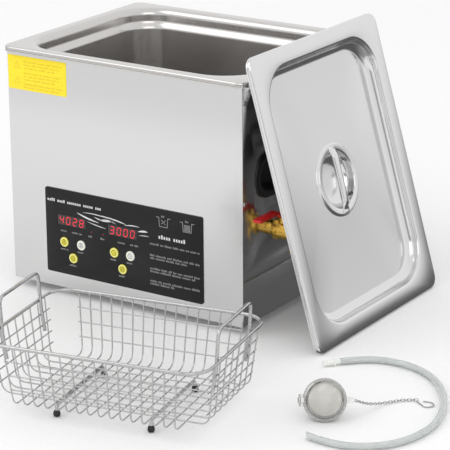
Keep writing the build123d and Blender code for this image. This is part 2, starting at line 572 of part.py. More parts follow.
# ---- hose and mesh ball ------------------------------------------------------------------
def hose():
    path = route([(x, y, HOSE_Z) for x, y in HOSE_ROUTE], "hose")
    node("drain_hose", tube(path, HOSE_D, HOSE_BORE))
    print("hose length", round(path.length, 1))
    seat = Plane(path @ 0, z_dir=(path % 0) * -1)
    fitting = seat * Pos(0, 0, -5) * Cylinder(HOSE_BORE / 2 - 0.1, 10)
    fitting += seat * Pos(0, 0, 3.0) * Cylinder(HOSE_BORE / 2 + 0.3, 6)
    fitting += seat * Pos(0, 0, 6.6) * Cylinder(FITTING_COLLAR_D / 2, 1.6)
    fitting += seat * Pos(0, 0, 13.0) * Cylinder(OUTLET_BORE / 2 - 0.1, 12)
    fitting -= seat * Pos(0, 0, 4) * Cylinder(FITTING_BORE / 2, 40)
    node("hose_fitting", fitting)


def ball_place():
    """Frame of the mesh ball: Z out of its ring, X to its right hand side."""
    tilt, turn = radians(BALL_TILT), radians(BALL_TURN)
    out = Vector(cos(tilt) * sin(turn), -cos(tilt) * cos(turn), sin(tilt))
    right = Vector(cos(turn), sin(turn), 0)
    height = BALL_RING_R * cos(tilt) + 0.05
    return Plane((BALL_AT[0], BALL_AT[1], height), x_dir=right, z_dir=out)


def ball_half():
    """Upper half of the mesh ball: a thin dome on a flat ring."""
    dome = Sphere(BALL_R - 0.2) - Sphere(BALL_R - 0.8)
    dome -= Pos(0, 0, -50 + 0.1) * Box(100, 100, 100)
    ring = Pos(0, 0, 0.85) * (Cylinder(BALL_RING_R, 1.5) - Cylinder(BALL_R - 0.8, 1.5))
    return dome + ring


def mesh_ball():
    frame = ball_place()
    place = frame.location
    hinge = Pos(-BALL_RING_R - 3.0, 0, 0) * Rot(90, 0, 0)
    front = ball_half() + Pos(-BALL_RING_R - 0.9, 0, 0.9) * Box(4.2, 5, 1.2)
    front += hinge * Cylinder(1.9, 5)
    front -= hinge * Cylinder(0.95, 8)
    node("strainer_front_half", place * front)
    rear = mirror(ball_half(), about=Plane.XY) + hinge * Cylinder(0.9, 12)
    for y in (-4.6, 4.6):
        rear += Pos(-BALL_RING_R - 1.2, y, -0.8) * Box(5.4, 3, 1.6)
    rear += Pos(BALL_RING_R + 3, 0, -1.1) * (Box(8, 7, 1.4) - Cylinder(1.9, 3))
    node("strainer_rear_half", place * rear)
    lug = frame.from_local_coords(Vector(BALL_RING_R + 9.2, 0, -1.1))
    path = route([(lug.X, lug.Y, lug.Z)] + CHAIN_ROUTE, "chain")
    print("chain length", round(path.length, 1))
    hook = FilletPolyline(*[(x, y, HOOK_WIRE / 2 + 0.1) for x, y in HOOK_ROUTE], radius=3.2)
    node("strainer_chain", tube(path, CHAIN_D), tube(hook, HOOK_WIRE))


casing()
controls()
transducers()
heater_and_sensor()
electronics()
fan()
drain()
mains()
lid()
basket()
hose()
mesh_ball()

for name, shape in NODES.items():
    export_step(shape, f"parts/{name}.step")
print(len(NODES), "nodes")
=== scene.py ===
"""Looks of a ten litre bench ultrasonic cleaner with its lid, basket, drain hose and mesh ball.

Metres, +Z up, the front with the control panel towards -Y. Lengths written in millimetres
go through mm() or MM.
"""

import random
from math import cos, pi, radians, sin

import bmesh
import bpy
from bpy.props import FloatProperty, IntProperty, PointerProperty, StringProperty
from mathutils import Matrix, Vector


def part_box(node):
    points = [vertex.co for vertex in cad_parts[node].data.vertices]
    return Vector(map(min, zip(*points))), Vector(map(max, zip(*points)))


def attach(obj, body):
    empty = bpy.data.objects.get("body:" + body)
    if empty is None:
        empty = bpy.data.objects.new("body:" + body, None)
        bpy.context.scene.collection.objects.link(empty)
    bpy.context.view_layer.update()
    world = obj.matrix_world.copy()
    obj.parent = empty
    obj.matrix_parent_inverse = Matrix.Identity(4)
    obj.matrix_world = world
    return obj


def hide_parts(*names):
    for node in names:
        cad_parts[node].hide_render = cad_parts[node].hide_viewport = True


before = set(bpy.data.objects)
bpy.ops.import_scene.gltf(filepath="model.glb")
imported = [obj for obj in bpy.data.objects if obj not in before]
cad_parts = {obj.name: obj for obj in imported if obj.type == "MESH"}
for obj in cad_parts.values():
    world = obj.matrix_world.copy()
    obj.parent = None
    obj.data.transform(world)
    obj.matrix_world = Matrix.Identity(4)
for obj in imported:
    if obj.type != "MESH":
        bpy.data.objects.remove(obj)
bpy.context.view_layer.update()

bl_info = {
    "name": "Ultrasonic cleaner",
    "version": (1, 0, 0),
    "blender": (4, 5, 0),
    "location": "View3D > Sidebar > Cleaner",
    "description": "Builds a bench ultrasonic cleaner with its lid, basket, hose and mesh ball",
    "category": "Object",
}

MM = 0.001


def mm(*values):
    """A point or size given in millimetres, in metres."""
    return Vector(values) * MM


# ---- places that come from the frame ---------------------------------------------------
TANK_LOW, TANK_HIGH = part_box("tank_pan")
FASCIA_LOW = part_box("control_fascia")[0]
LABEL_LOW, LABEL_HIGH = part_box("front_label")
MODULE_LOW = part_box("display_modules")[0]

RIM_TOP = TANK_HIGH.z
RIM = (TANK_HIGH.x - TANK_LOW.x, TANK_HIGH.y - TANK_LOW.y, 0.013)     # width, depth, corner
MOUTH = (0.289, 0.229, 0.045)                                         # tank opening
DISH = (0.285, 0.225, 0.045)                                          # sunk part of the lid
LID_LEAN = radians(16.1)
LID_MIDDLE = mm(215.27, -3.0, 158.07)
BASKET_MIDDLE = mm(159.0, -346.0, 0.0)
BASKET_YAW = radians(10.8)
BALL_MIDDLE = mm(345.8, -270.0, 19.475)
BALL_TILT, BALL_TURN = radians(28.0), radians(33.4)
DRAIN_HOLE = mm(112.0, -74.0, 0.0)
DISPLAYS = {"left": (-72.4, 91.7), "right": (-1.8, 91.7)}
BUTTONS = {
    "temp_up_button": (-83.1, 65.8, "drop"), "temp_down_button": (-59.3, 65.8, "drop"),
    "heat_power_button": (-70.9, 48.2, "power"), "time_up_button": (-13.2, 65.8, "clock"),
    "time_down_button": (9.1, 65.8, "clock"), "sonic_power_button": (-2.0, 48.2, "power"),
}
HOSE_ROUTE = [(288, -141), (305, -121), (338, -110), (376, -117), (412, -147), (438, -190),
              (452, -240), (444, -288), (418, -318), (385, -328), (357, -323)]
HOSE_HEIGHT = 4.2
CHAIN_ROUTE = [(371.853, -252.828, 18.504), (373, -237, 10), (376, -220, 4.2),
               (382, -204, 1.8), (391, -191, 1.8), (402, -184, 1.8)]
HOOK_ROUTE = [(403, -185), (418, -195), (425, -187), (418, -180), (409, -182)]


def lid_place():
    """Frame of the leaning lid: X down its slope, Z out of its face."""
    down = Vector((sin(LID_LEAN), 0, -cos(LID_LEAN)))
    out = Vector((cos(LID_LEAN), 0, sin(LID_LEAN)))
    return axes(down, Vector((0, 1, 0)), out, LID_MIDDLE)


def basket_place():
    """Frame of the basket: X along its length, on the bench."""
    return Matrix.Translation(BASKET_MIDDLE) @ Matrix.Rotation(BASKET_YAW, 4, "Z")


def ball_place():
    """Frame of the mesh ball: Z out of its ring, X to its right hand side."""
    level = cos(BALL_TILT)
    out = Vector((level * sin(BALL_TURN), -level * cos(BALL_TURN), sin(BALL_TILT)))
    right = Vector((cos(BALL_TURN), sin(BALL_TURN), 0))
    return axes(right, out.cross(right), out, BALL_MIDDLE)


def axes(x_axis, y_axis, z_axis, origin):
    """Placing matrix from three axes and an origin."""
    matrix = Matrix.Identity(4)
    for column, axis in enumerate((x_axis, y_axis, z_axis, origin)):
        matrix.col[column][:3] = axis
    return matrix


# ---- materials --------------------------------------------------------------------------
def linear(colour):
    """A linear colour from an sRGB hex value."""
    values = [int(colour[i:i + 2], 16) / 255 for i in (1, 3, 5)]
    return [v / 12.92 if v <= 0.04045 else ((v + 0.055) / 1.055) ** 2.4 for v in values] + [1.0]


def add(tree, kind, values=None, links=None, **settings):
    """Add a node to a tree, with its settings, its socket values and its incoming links."""
    node = tree.nodes.new(kind)
    for key, value in settings.items():
        setattr(node, key, value)
    for key, value in (values or {}).items():
        node.inputs[key].default_value = value
    for key, source in (links or {}).items():
        tree.links.new(source, node.inputs[key])
    return node


def finish(name, colour, **sockets):
    """A new material whose constants sit on its shader's own sockets."""
    material = bpy.data.materials.new(name)
    material.use_nodes = True
    shader = material.node_tree.nodes["Principled BSDF"]
    shader.inputs["Base Color"].default_value = linear(colour)
    for key, value in sockets.items():
        shader.inputs[key.replace("_", " ")].default_value = value
    return material


def grain(material, size, stretch=(1, 1, 1), colours=None, roughness=None, bump=None, detail=2.0,
          contrast=(0.35, 0.65)):
    """Noise of a real size in millimetres that varies colour, roughness and height."""
    tree = material.node_tree
    shader = tree.nodes["Principled BSDF"]
    coords = add(tree, "ShaderNodeTexCoord")
    place = add(tree, "ShaderNodeMapping", {"Scale": [1 / s for s in stretch]},
                {"Vector": coords.outputs["Object"]})
    noise = add(tree, "ShaderNodeTexNoise", {"Scale": 1 / (size * MM), "Detail": detail},
                {"Vector": place.outputs["Vector"]})
    level = add(tree, "ShaderNodeMapRange",
                {"From Min": contrast[0], "From Max": contrast[1]}, {"Value": noise.outputs["Fac"]})
    if colours:
        mix = add(tree, "ShaderNodeMix", links={"Factor": level.outputs["Result"]},
                  data_type="RGBA")
        for socket, value in zip([s for s in mix.inputs if s.type == "RGBA"], colours):
            socket.default_value = linear(value)
        result = [s for s in mix.outputs if s.type == "RGBA"][0]
        tree.links.new(result, shader.inputs["Base Color"])
    if roughness:
        spread = add(tree, "ShaderNodeMapRange", {"To Min": roughness[0], "To Max": roughness[1]},
                     {"Value": level.outputs["Result"]})
        tree.links.new(spread.outputs["Result"], shader.inputs["Roughness"])
    if bump:
        relief = add(tree, "ShaderNodeBump", {"Strength": bump[0], "Distance": bump[1] * MM},
                     {"Height": noise.outputs["Fac"]})
        tree.links.new(relief.outputs["Normal"], shader.inputs["Normal"])
    return material


FINISHES = {}


def make_finishes(colours):
    """All materials, by the name of the material slot that they stand for.

    Each row gives a material's name, colour and shader sockets, then its grain's size in
    millimetres, stretch, two colours, roughness range and sometimes bump.
    """
    table = {
        # Deep drawn 304 stainless: satin, with draw marks running down the walls.
        "tank_steel": ("deep_drawn_stainless", "#cdcbc9", dict(Metallic=1.0, Roughness=0.24),
            0.6, (1, 1, 12), ("#cac8c6", "#d0cecc"), (0.2, 0.25), (0.01, 0.01)),
        # Cold rolled 304 sheet, lightly brushed: a soft upright grain that blurs what it reflects.
        "case_steel": ("brushed_stainless_sheet", colours.steel,
            dict(Metallic=1.0, Roughness=0.22),
            0.5, (1, 1, 12), ("#d6d6d6", "#dadada"), (0.2, 0.24), (0.01, 0.01)),
        # Drawn and polished 304 sheet: brighter, with a faint grain across the lid.
        "lid_steel": ("polished_stainless_sheet", colours.steel,
            dict(Metallic=1.0, Roughness=0.15),
            0.6, (1, 12, 1), ("#dbdbdb", "#dfdfdf"), (0.13, 0.17), (0.01, 0.01)),
        # Polished round rod and welded wire: a narrow bright line along the top of each wire.
        "basket_wire": ("polished_stainless_wire", "#b9b9b9", dict(Metallic=1.0, Roughness=0.16),
            3.0, (1, 1, 1), ("#b2b2b2", "#c0c0c0"), (0.13, 0.2), (0.05, 0.02)),
        # Rolled stainless of the ball's ring: mid grey, satin, faintly rubbed.
        "ball_steel": ("satin_rolled_steel", "#b2b2b0", dict(Metallic=1.0, Roughness=0.24),
            1.4, (1, 1, 1), ("#a9a9a7", "#bbbbb9"), (0.2, 0.3), (0.06, 0.02)),
        # Fine woven stainless net of the ball: bright, slightly creamy.
        "net_steel": ("woven_stainless_net", "#f1efe9", dict(Metallic=1.0, Roughness=0.4),
            1.4, (1, 1, 1), ("#ebe9e3", "#f6f4ee"), (0.36, 0.46)),
        # Zinc plated pan head screws.
        "screw_steel": ("zinc_plated_steel", "#b8b9bb", dict(Metallic=1.0, Roughness=0.3),
            0.9, (1, 1, 1), ("#a9aaac", "#c3c4c6"), (0.25, 0.4), (0.1, 0.01)),
        # Printed polyester film over the controls: black, satin, with a very fine pebble.
        "fascia": ("black_polyester_film", "#121214", dict(Roughness=0.45, Specular_IOR_Level=0.3),
            0.5, (1, 1, 1), ("#0f0f11", "#161618"), (0.4, 0.5), (0.1, 0.01)),
        # Dark red acrylic window over the digits.
        "display_glass": ("dark_red_acrylic", "#160406",
            dict(Roughness=0.12, Coat_Weight=0.5, Coat_Roughness=0.05),
            6.0, (1, 1, 1), ("#120305", "#1c0608"), (0.1, 0.16)),
        "lamp_red": ("red_lamp_epoxy", "#6a1416", dict(Roughness=0.2, IOR=1.5),
            0.8, (1, 1, 1), ("#5e1012", "#74181a"), (0.16, 0.26)),
        # Moulded silicone keys: yellow and off white, matt, slightly uneven.
        "button_yellow": ("yellow_silicone_key", "#e6dc3a", dict(Roughness=0.45),
            1.2, (1, 1, 1), ("#ded232", "#ece44c"), (0.4, 0.52), (0.2, 0.02)),
        "button_white": ("white_silicone_key", "#ececec", dict(Roughness=0.45),
            1.2, (1, 1, 1), ("#e2e2e2", "#f2f2f2"), (0.4, 0.52), (0.2, 0.02)),
        # Vinyl sticker: flat warm yellow with a slight orange peel.
        "label_yellow": ("yellow_vinyl_label", "#ffe51f", dict(Roughness=0.35),
            2.5, (1, 1, 1), ("#fde016", "#ffe92c"), (0.3, 0.42), (0.1, 0.02)),
        # Nitrile rubber: near black, matt.
        "rubber": ("black_nitrile_rubber", "#141414", dict(Roughness=0.5),
            0.7, (1, 1, 1), ("#0e0e0e", "#1c1c1c"), (0.42, 0.62), (0.3, 0.03)),
        # Injection moulded ABS with a spark eroded texture.
        "black_plastic": ("black_moulded_abs", "#161617", dict(Roughness=0.3),
            0.4, (1, 1, 1), ("#121213", "#1b1b1c"), (0.26, 0.36), (0.15, 0.01)),
        "rocker": ("black_polycarbonate_rocker", "#1a1a1a", dict(Roughness=0.25),
            0.6, (1, 1, 1), ("#141414", "#222222"), (0.2, 0.32), (0.1, 0.01)),
        # Fibreglass board under green solder mask.
        "board_green": ("green_solder_mask", "#1f6b3a", dict(Roughness=0.35),
            1.5, (1, 1, 1), ("#185a30", "#287a45"), (0.3, 0.45), (0.1, 0.01)),
        # Extruded and turned aluminium with fine tool marks.
        "aluminium": ("turned_aluminium", "#c4c6c8", dict(Metallic=1.0, Roughness=0.35),
            0.5, (1, 1, 0.2), ("#b7b9bb", "#cfd1d3"), (0.3, 0.45), (0.2, 0.01)),
        # Fired lead zirconate rings: warm grey, dry.
        "ceramic": ("fired_piezo_ceramic", "#b9ad98", dict(Roughness=0.6),
            0.5, (1, 1, 1), ("#aea28d", "#c4b8a4"), (0.5, 0.7), (0.2, 0.01)),
        "brass": ("stamped_brass", "#c9a24a", dict(Metallic=1.0, Roughness=0.3),
            0.8, (1, 1, 1), ("#b98f3c", "#d3b05c"), (0.25, 0.4), (0.1, 0.01)),
        # Bare forged brass of the drain valve: deep yellow, satin where it was turned.
        "valve_brass": ("bare_forged_brass", "#dcb04e", dict(Metallic=1.0, Roughness=0.28),
            1.2, (1, 1, 1), ("#d0a240", "#e6bd5e"), (0.22, 0.36), (0.1, 0.02)),
        # Dip coated steel lever.
        "lever_red": ("red_vinyl_coating", "#c0181c", dict(Roughness=0.35),
            1.5, (1, 1, 1), ("#ae1418", "#cc2024"), (0.3, 0.45), (0.2, 0.03)),
        "mass_steel": ("turned_carbon_steel", "#8d8f92", dict(Metallic=1.0, Roughness=0.38),
            0.5, (1, 1, 0.2), ("#7f8184", "#9b9da0"), (0.3, 0.5), (0.2, 0.01)),
        # Silicone heater mat: brick red with its woven glass showing through.
        "silicone": ("heater_mat_silicone", "#a8401f", dict(Roughness=0.6),
            1.0, (1, 1, 1), ("#983818", "#b64a28"), (0.5, 0.7), (0.4, 0.05)),
        "sensor": ("sensor_epoxy", "#2a2d33", dict(Roughness=0.4),
            0.8, (1, 1, 1), ("#22252a", "#33373e"), (0.3, 0.5), (0.2, 0.02)),
        # Varnished ferrite and copper winding.
        "transformer": ("varnished_winding", "#7a4a22", dict(Roughness=0.4),
            0.6, (1, 6, 1), ("#5f3817", "#8f5a2c"), (0.3, 0.5), (0.4, 0.1)),
        "capacitor_film": ("blue_capacitor_sleeve", "#23406e", dict(Roughness=0.3),
            1.2, (1, 1, 1), ("#1d375f", "#2b4c80"), (0.25, 0.4), (0.1, 0.01)),
        "wire_blue": ("blue_wire_insulation", "#2b5fa8", dict(Roughness=0.4),
            1.0, (1, 1, 1), ("#24528f", "#3469b5"), (0.35, 0.5), (0.1, 0.01)),
        # Plasticised PVC tube: pale grey green, clear enough to lighten where the bore shows.
        "hose_clear": ("clear_pvc_hose", "#eef1f0",
            dict(Roughness=0.12, Transmission_Weight=0.6, IOR=1.4),
            6.0, (1, 1, 1), ("#eaeeed", "#f2f5f4"), (0.09, 0.15), (0.03, 0.02)),
        # Moulded nylon fitting: milky white.
        "fitting_white": ("white_moulded_nylon", "#eeeeea",
            dict(Roughness=0.35, Subsurface_Weight=0.2, Subsurface_Scale=0.002),
            1.2, (1, 1, 1), ("#e6e6e1", "#f3f3f0"), (0.3, 0.45), (0.15, 0.02)),
        # Screen inks on the film: white, and the darker symbol on each key. The paler rim on each
        # key is a painted highlight of its rounded edge, not ink.
        "ink_white": ("white_screen_ink", "#dcdcdc", dict(Roughness=0.5),
            0.6, (1, 1, 1), ("#d0d0d0", "#e6e6e6"), (0.45, 0.6)),
        "ink_grey": ("grey_screen_ink", "#8c8c8c", dict(Roughness=0.5),
            0.6, (1, 1, 1), ("#828282", "#969696"), (0.45, 0.6)),
        "ink_dark": ("dark_screen_ink", "#4a4820", dict(Roughness=0.5),
            0.6, (1, 1, 1), ("#403e1a", "#565428"), (0.45, 0.6)),
        # painted highlight: pale ring standing for the light on each key's rounded edge
        "key_rim_painted_highlight": ("pale_screen_ink", "#f4f2c4", dict(Roughness=0.5),
            0.6, (1, 1, 1), ("#eeecb8", "#faf8d0"), (0.45, 0.6)),
        "ink_ochre": ("ochre_screen_ink", "#e2c40c", dict(Roughness=0.4),
            0.6, (1, 1, 1), ("#dabb08", "#e9cd18"), (0.36, 0.46)),
        # Light emitting segments seen through red acrylic, and the same segments switched off.
        "segment_lit": ("lit_red_segment", "#e0283a",
            dict(Roughness=0.3, Emission_Strength=colours.glow, Emission_Color=linear("#ff2034")),
            0.8, (1, 1, 1), ("#d82034", "#e63246"), (0.25, 0.35)),
        "segment_dark": ("unlit_red_segment", "#5a1018", dict(Roughness=0.3),
            0.8, (1, 1, 1), ("#500d14", "#64131c"), (0.25, 0.35)),
    }
    for slot, (name, colour, sockets, *texture) in table.items():
        FINISHES[slot] = grain(finish(name, colour, **sockets), *texture)


# ---- mesh makers ------------------------------------------------------------------------
def piece(name, mesh, finish_name):
    """A new object for a finished mesh, with its material."""
    thing = bpy.data.objects.new(name, mesh)
    bpy.context.scene.collection.objects.link(thing)
    mesh.materials.clear()
    mesh.materials.append(FINISHES[finish_name])
    return thing


def built(builder, name):
    """The mesh of a finished builder, which is freed."""
    mesh = bpy.data.meshes.new(name)
    builder.to_mesh(mesh)
    builder.free()
    return mesh


def skin(builder, rows):
    """Faces from row to row, where each row is a ring of equally many vertices."""
    count = len(rows[0])
    for lower, upper in zip(rows, rows[1:]):
        for i in range(count):
            j = (i + 1) % count
            builder.faces.new((lower[i], lower[j], upper[j], upper[i]))


def bake(thing):
    """Turn the modifiers of a piece into plain mesh."""
    bpy.context.view_layer.update()
    evaluated = thing.evaluated_get(bpy.context.evaluated_depsgraph_get())
    mesh = bpy.data.meshes.new_from_object(evaluated)
    thing.modifiers.clear()
    thing.data = mesh
    mesh.name = thing.name
    return thing


def belongs(thing, body, slot, *nodes):
    """Give a finished piece its body and hide the CAD nodes that it stands for; slot is not used.
    """
    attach(thing, body)
    if nodes:
        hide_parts(*nodes)
    return thing


CORNER_STEPS = 14


def rounded_loop(size, inset, z):
    """Points round a rounded rectangle (width, depth, corner), moved in by inset, at height z."""
    half_x, half_y, corner = size[0] / 2 - inset, size[1] / 2 - inset, size[2] - inset
    points = []
    for quarter, (side_x, side_y) in enumerate(((1, 1), (-1, 1), (-1, -1), (1, -1))):
        middle = Vector((side_x * (half_x - corner), side_y * (half_y - corner), z))
        for step in range(CORNER_STEPS + 1):
            angle = pi / 2 * (quarter + step / CORNER_STEPS)
            points.append(middle + corner * Vector((cos(angle), sin(angle), 0)))
    return points


def round_loop(radius, z):
    """Points round a circle, as many as in a rounded loop and in step with them."""
    count = 4 * (CORNER_STEPS + 1)
    angles = [2 * pi * (step + 0.5) / count for step in range(count)]
    return [Vector((radius * cos(a), radius * sin(a), z)) for a in angles]


def quarter(start, end, sideways_first, steps=6):
    """Points of a quarter bend between two (inset, height) pairs, without its start."""
    bend = []
    for step in range(1, steps + 1):
        angle = pi / 2 * step / steps
        quick, slow = sin(angle), 1 - cos(angle)
        share_in, share_up = (quick, slow) if sideways_first else (slow, quick)
        bend.append((start[0] + (end[0] - start[0]) * share_in,
                     start[1] + (end[1] - start[1]) * share_up))
    return bend


def ease(start, end, steps=8):
    """Points of a soft step between two (inset, height) pairs, without its start."""
    soft = []
    for step in range(1, steps + 1):
        share = step / steps
        swing = share * share * (3 - 2 * share)
        soft.append((start[0] + (end[0] - start[0]) * swing,
                     start[1] + (end[1] - start[1]) * share))
    return soft


def rim_profile(top):
    """Hemmed, turned down edge of a gastronorm rim, from its lower edge to its flat face."""
    hem = [(0.0010, top - 0.0065), (0.0002, top - 0.0062), (0.0, top - 0.0056),
           (0.0002, top - 0.0049), (0.0010, top - 0.0044), (0.0011, top - 0.0036)]
    hem += ease((0.0011, top - 0.0036), (0.0, top - 0.0026), 3)
    return hem + quarter((0.0, top - 0.0024), (0.0024, top), False, 5)


def loft(name, loops, finish_name, hole=None):
    """A sheet through loops of equally many points; the last loop is closed over."""
    builder = bmesh.new()
    rows = [[builder.verts.new(point) for point in loop] for loop in loops]
    count = len(rows[0])
    skin(builder, rows)
    if hole is None:
        builder.faces.new(rows[-1])
    else:
        ring = [builder.verts.new(point) for point in hole]
        edges = [builder.edges.get((rows[-1][i - 1], rows[-1][i])) for i in range(count)]
        edges += [builder.edges.new((ring[i - 1], ring[i])) for i in range(len(ring))]
        filled = bmesh.ops.triangle_fill(builder, use_beauty=True, edges=edges)
        flat = [f for f in filled["geom"] if isinstance(f, bmesh.types.BMFace)]
        for face in flat:
            face.normal_update()
            if face.normal.z < 0:
                face.normal_flip()
    return piece(name, built(builder, name), finish_name)


def thicken(thing, thickness):
    """Give a sheet its wall on the side its faces look away from."""
    wall = thing.modifiers.new("wall", "SOLIDIFY")
    wall.thickness = thickness
    wall.offset = -1.0
    wall.use_even_offset = True
    return bake(thing)


def soften(thing, angle=35.0):
    """Shade a finished mesh smooth, with its sharper edges kept."""
    mesh = thing.data
    mesh.polygons.foreach_set("use_smooth", [True] * len(mesh.polygons))
    mesh.set_sharp_from_angle(angle=radians(angle))
    mesh.update()
    return thing


def move_into(thing, matrix):
    """Place a finished mesh; its object stays at the origin."""
    thing.data.transform(matrix)
    thing.data.update()
    return thing


def lathe(name, profile, finish_name, sides=48, matrix=None):
    """A turned piece from (radius, height) pairs that run round its section anticlockwise."""
    builder = bmesh.new()
    rings = []
    for radius, height in profile:
        if radius <= 0:
            rings.append([builder.verts.new((0, 0, height))])
            continue
        angles = [2 * pi * step / sides for step in range(sides)]
        rings.append([builder.verts.new((radius * cos(a), radius * sin(a), height))
                      for a in angles])
    closed = profile[0][0] > 0
    pairs = list(zip(rings, rings[1:] + rings[:1])) if closed else list(zip(rings, rings[1:]))
    for first, second in pairs:
        for i in range(sides):
            j = (i + 1) % sides
            corners = [first[i % len(first)], first[j % len(first)],
                       second[j % len(second)], second[i % len(second)]]
            builder.faces.new(list(dict.fromkeys(corners)))
    bmesh.ops.recalc_face_normals(builder, faces=builder.faces)
    thing = piece(name, built(builder, name), finish_name)
    if matrix:
        move_into(thing, matrix)
    return soften(thing)


# ---- geometry node trees ------------------------------------------------------------------
def new_tree(name, inputs):
    """A node group with a geometry input and output and the named inputs given."""
    tree = bpy.data.node_groups.new(name, "GeometryNodeTree")
    tree.interface.new_socket("Geometry", in_out="INPUT", socket_type="NodeSocketGeometry")
    for label, kind in inputs:
        tree.interface.new_socket(label, in_out="INPUT", socket_type=kind)
    tree.interface.new_socket("Geometry", in_out="OUTPUT", socket_type="NodeSocketGeometry")
    return tree, add(tree, "NodeGroupInput"), add(tree, "NodeGroupOutput")


def end_tree(tree, source, inside, outside):
    """Close a tree with Realize Instances and Set Material."""
    smooth = add(tree, "GeometryNodeSetShadeSmooth", links={"Geometry": source})
    real = add(tree, "GeometryNodeRealizeInstances", links={"Geometry": smooth.outputs["Geometry"]})
    coat = add(tree, "GeometryNodeSetMaterial", links={
        "Geometry": real.outputs["Geometry"], "Material": inside.outputs["Material"]})
    tree.links.new(coat.outputs["Geometry"], outside.inputs["Geometry"])


def maths(tree, operation, *operands):
    """Result of a math node whose operands are sockets or numbers."""
    node = add(tree, "ShaderNodeMath", operation=operation)
    for socket, operand in zip(node.inputs, operands):
        if isinstance(operand, bpy.types.NodeSocket):
            tree.links.new(operand, socket)
        else:
            socket.default_value = operand
    return node.outputs["Value"]


def wire_skin(tree, curve, diameter, sides, caps):
    """Round wire of a diameter along a curve; sides is a socket or a number."""
    section = add(tree, "GeometryNodeCurvePrimitiveCircle",
                  links={"Radius": maths(tree, "MULTIPLY", diameter, 0.5)})
    if isinstance(sides, bpy.types.NodeSocket):
        tree.links.new(sides, section.inputs["Resolution"])
    else:
        section.inputs["Resolution"].default_value = sides
    skin = add(tree, "GeometryNodeCurveToMesh", {"Fill Caps": caps}, {
        "Curve": curve, "Profile Curve": section.outputs["Curve"]})
    return skin.outputs["Mesh"]


def bent_wire_tree():
    """Round wire along every line of a mesh, with its corners bent to a radius."""
    tree, inside, outside = new_tree("bent_wire", [
        ("Wire diameter", "NodeSocketFloat"), ("Bend radius", "NodeSocketFloat"),
        ("Bend steps", "NodeSocketInt"), ("Sides", "NodeSocketInt"),
        ("Material", "NodeSocketMaterial")])
    line = add(tree, "GeometryNodeMeshToCurve", links={"Mesh": inside.outputs["Geometry"]})
    bend = add(tree, "GeometryNodeFilletCurve", {"Limit Radius": True}, {
        "Curve": line.outputs["Curve"], "Radius": inside.outputs["Bend radius"],
        "Count": inside.outputs["Bend steps"]}, mode="POLY")
    wire = wire_skin(tree, bend.outputs["Curve"], inside.outputs["Wire diameter"],
                     inside.outputs["Sides"], True)
    end_tree(tree, wire, inside, outside)
    return tree


def chain_tree():
    """Oval links along a line, every second one turned a quarter."""
    tree, inside, outside = new_tree("chain_links", [
        ("Pitch", "NodeSocketFloat"), ("Link length", "NodeSocketFloat"),
        ("Link width", "NodeSocketFloat"), ("Wire diameter", "NodeSocketFloat"),
        ("Material", "NodeSocketMaterial")])
    line = add(tree, "GeometryNodeMeshToCurve", links={"Mesh": inside.outputs["Geometry"]})
    spots = add(tree, "GeometryNodeResampleCurve", links={
        "Curve": line.outputs["Curve"], "Length": inside.outputs["Pitch"]}, mode="LENGTH")
    tangent = add(tree, "GeometryNodeInputTangent")
    along = add(tree, "FunctionNodeAlignRotationToVector",
                links={"Vector": tangent.outputs["Tangent"]}, axis="X")
    number = add(tree, "GeometryNodeInputIndex")
    odd = maths(tree, "MODULO", number.outputs["Index"], 2.0)
    turn = maths(tree, "MULTIPLY_ADD", odd, pi / 2, pi / 4)
    about = add(tree, "ShaderNodeCombineXYZ", links={"X": turn})
    roll = add(tree, "FunctionNodeEulerToRotation", links={"Euler": about.outputs["Vector"]})
    facing = add(tree, "FunctionNodeRotateRotation", links={
        "Rotation": along.outputs["Rotation"], "Rotate By": roll.outputs["Rotation"]},
        rotation_space="LOCAL")
    oval = add(tree, "GeometryNodeCurvePrimitiveQuadrilateral", links={
        "Width": inside.outputs["Link length"], "Height": inside.outputs["Link width"]})
    round_off = maths(tree, "MULTIPLY", inside.outputs["Link width"], 0.49)
    ends = add(tree, "GeometryNodeFilletCurve", {"Count": 4, "Limit Radius": True}, {
        "Curve": oval.outputs["Curve"], "Radius": round_off}, mode="POLY")
    link = wire_skin(tree, ends.outputs["Curve"], inside.outputs["Wire diameter"], 6, False)
    copies = add(tree, "GeometryNodeInstanceOnPoints", links={
        "Points": spots.outputs["Curve"], "Instance": link,
        "Rotation": facing.outputs["Rotation"]})
    end_tree(tree, copies.outputs["Instances"], inside, outside)
    return tree


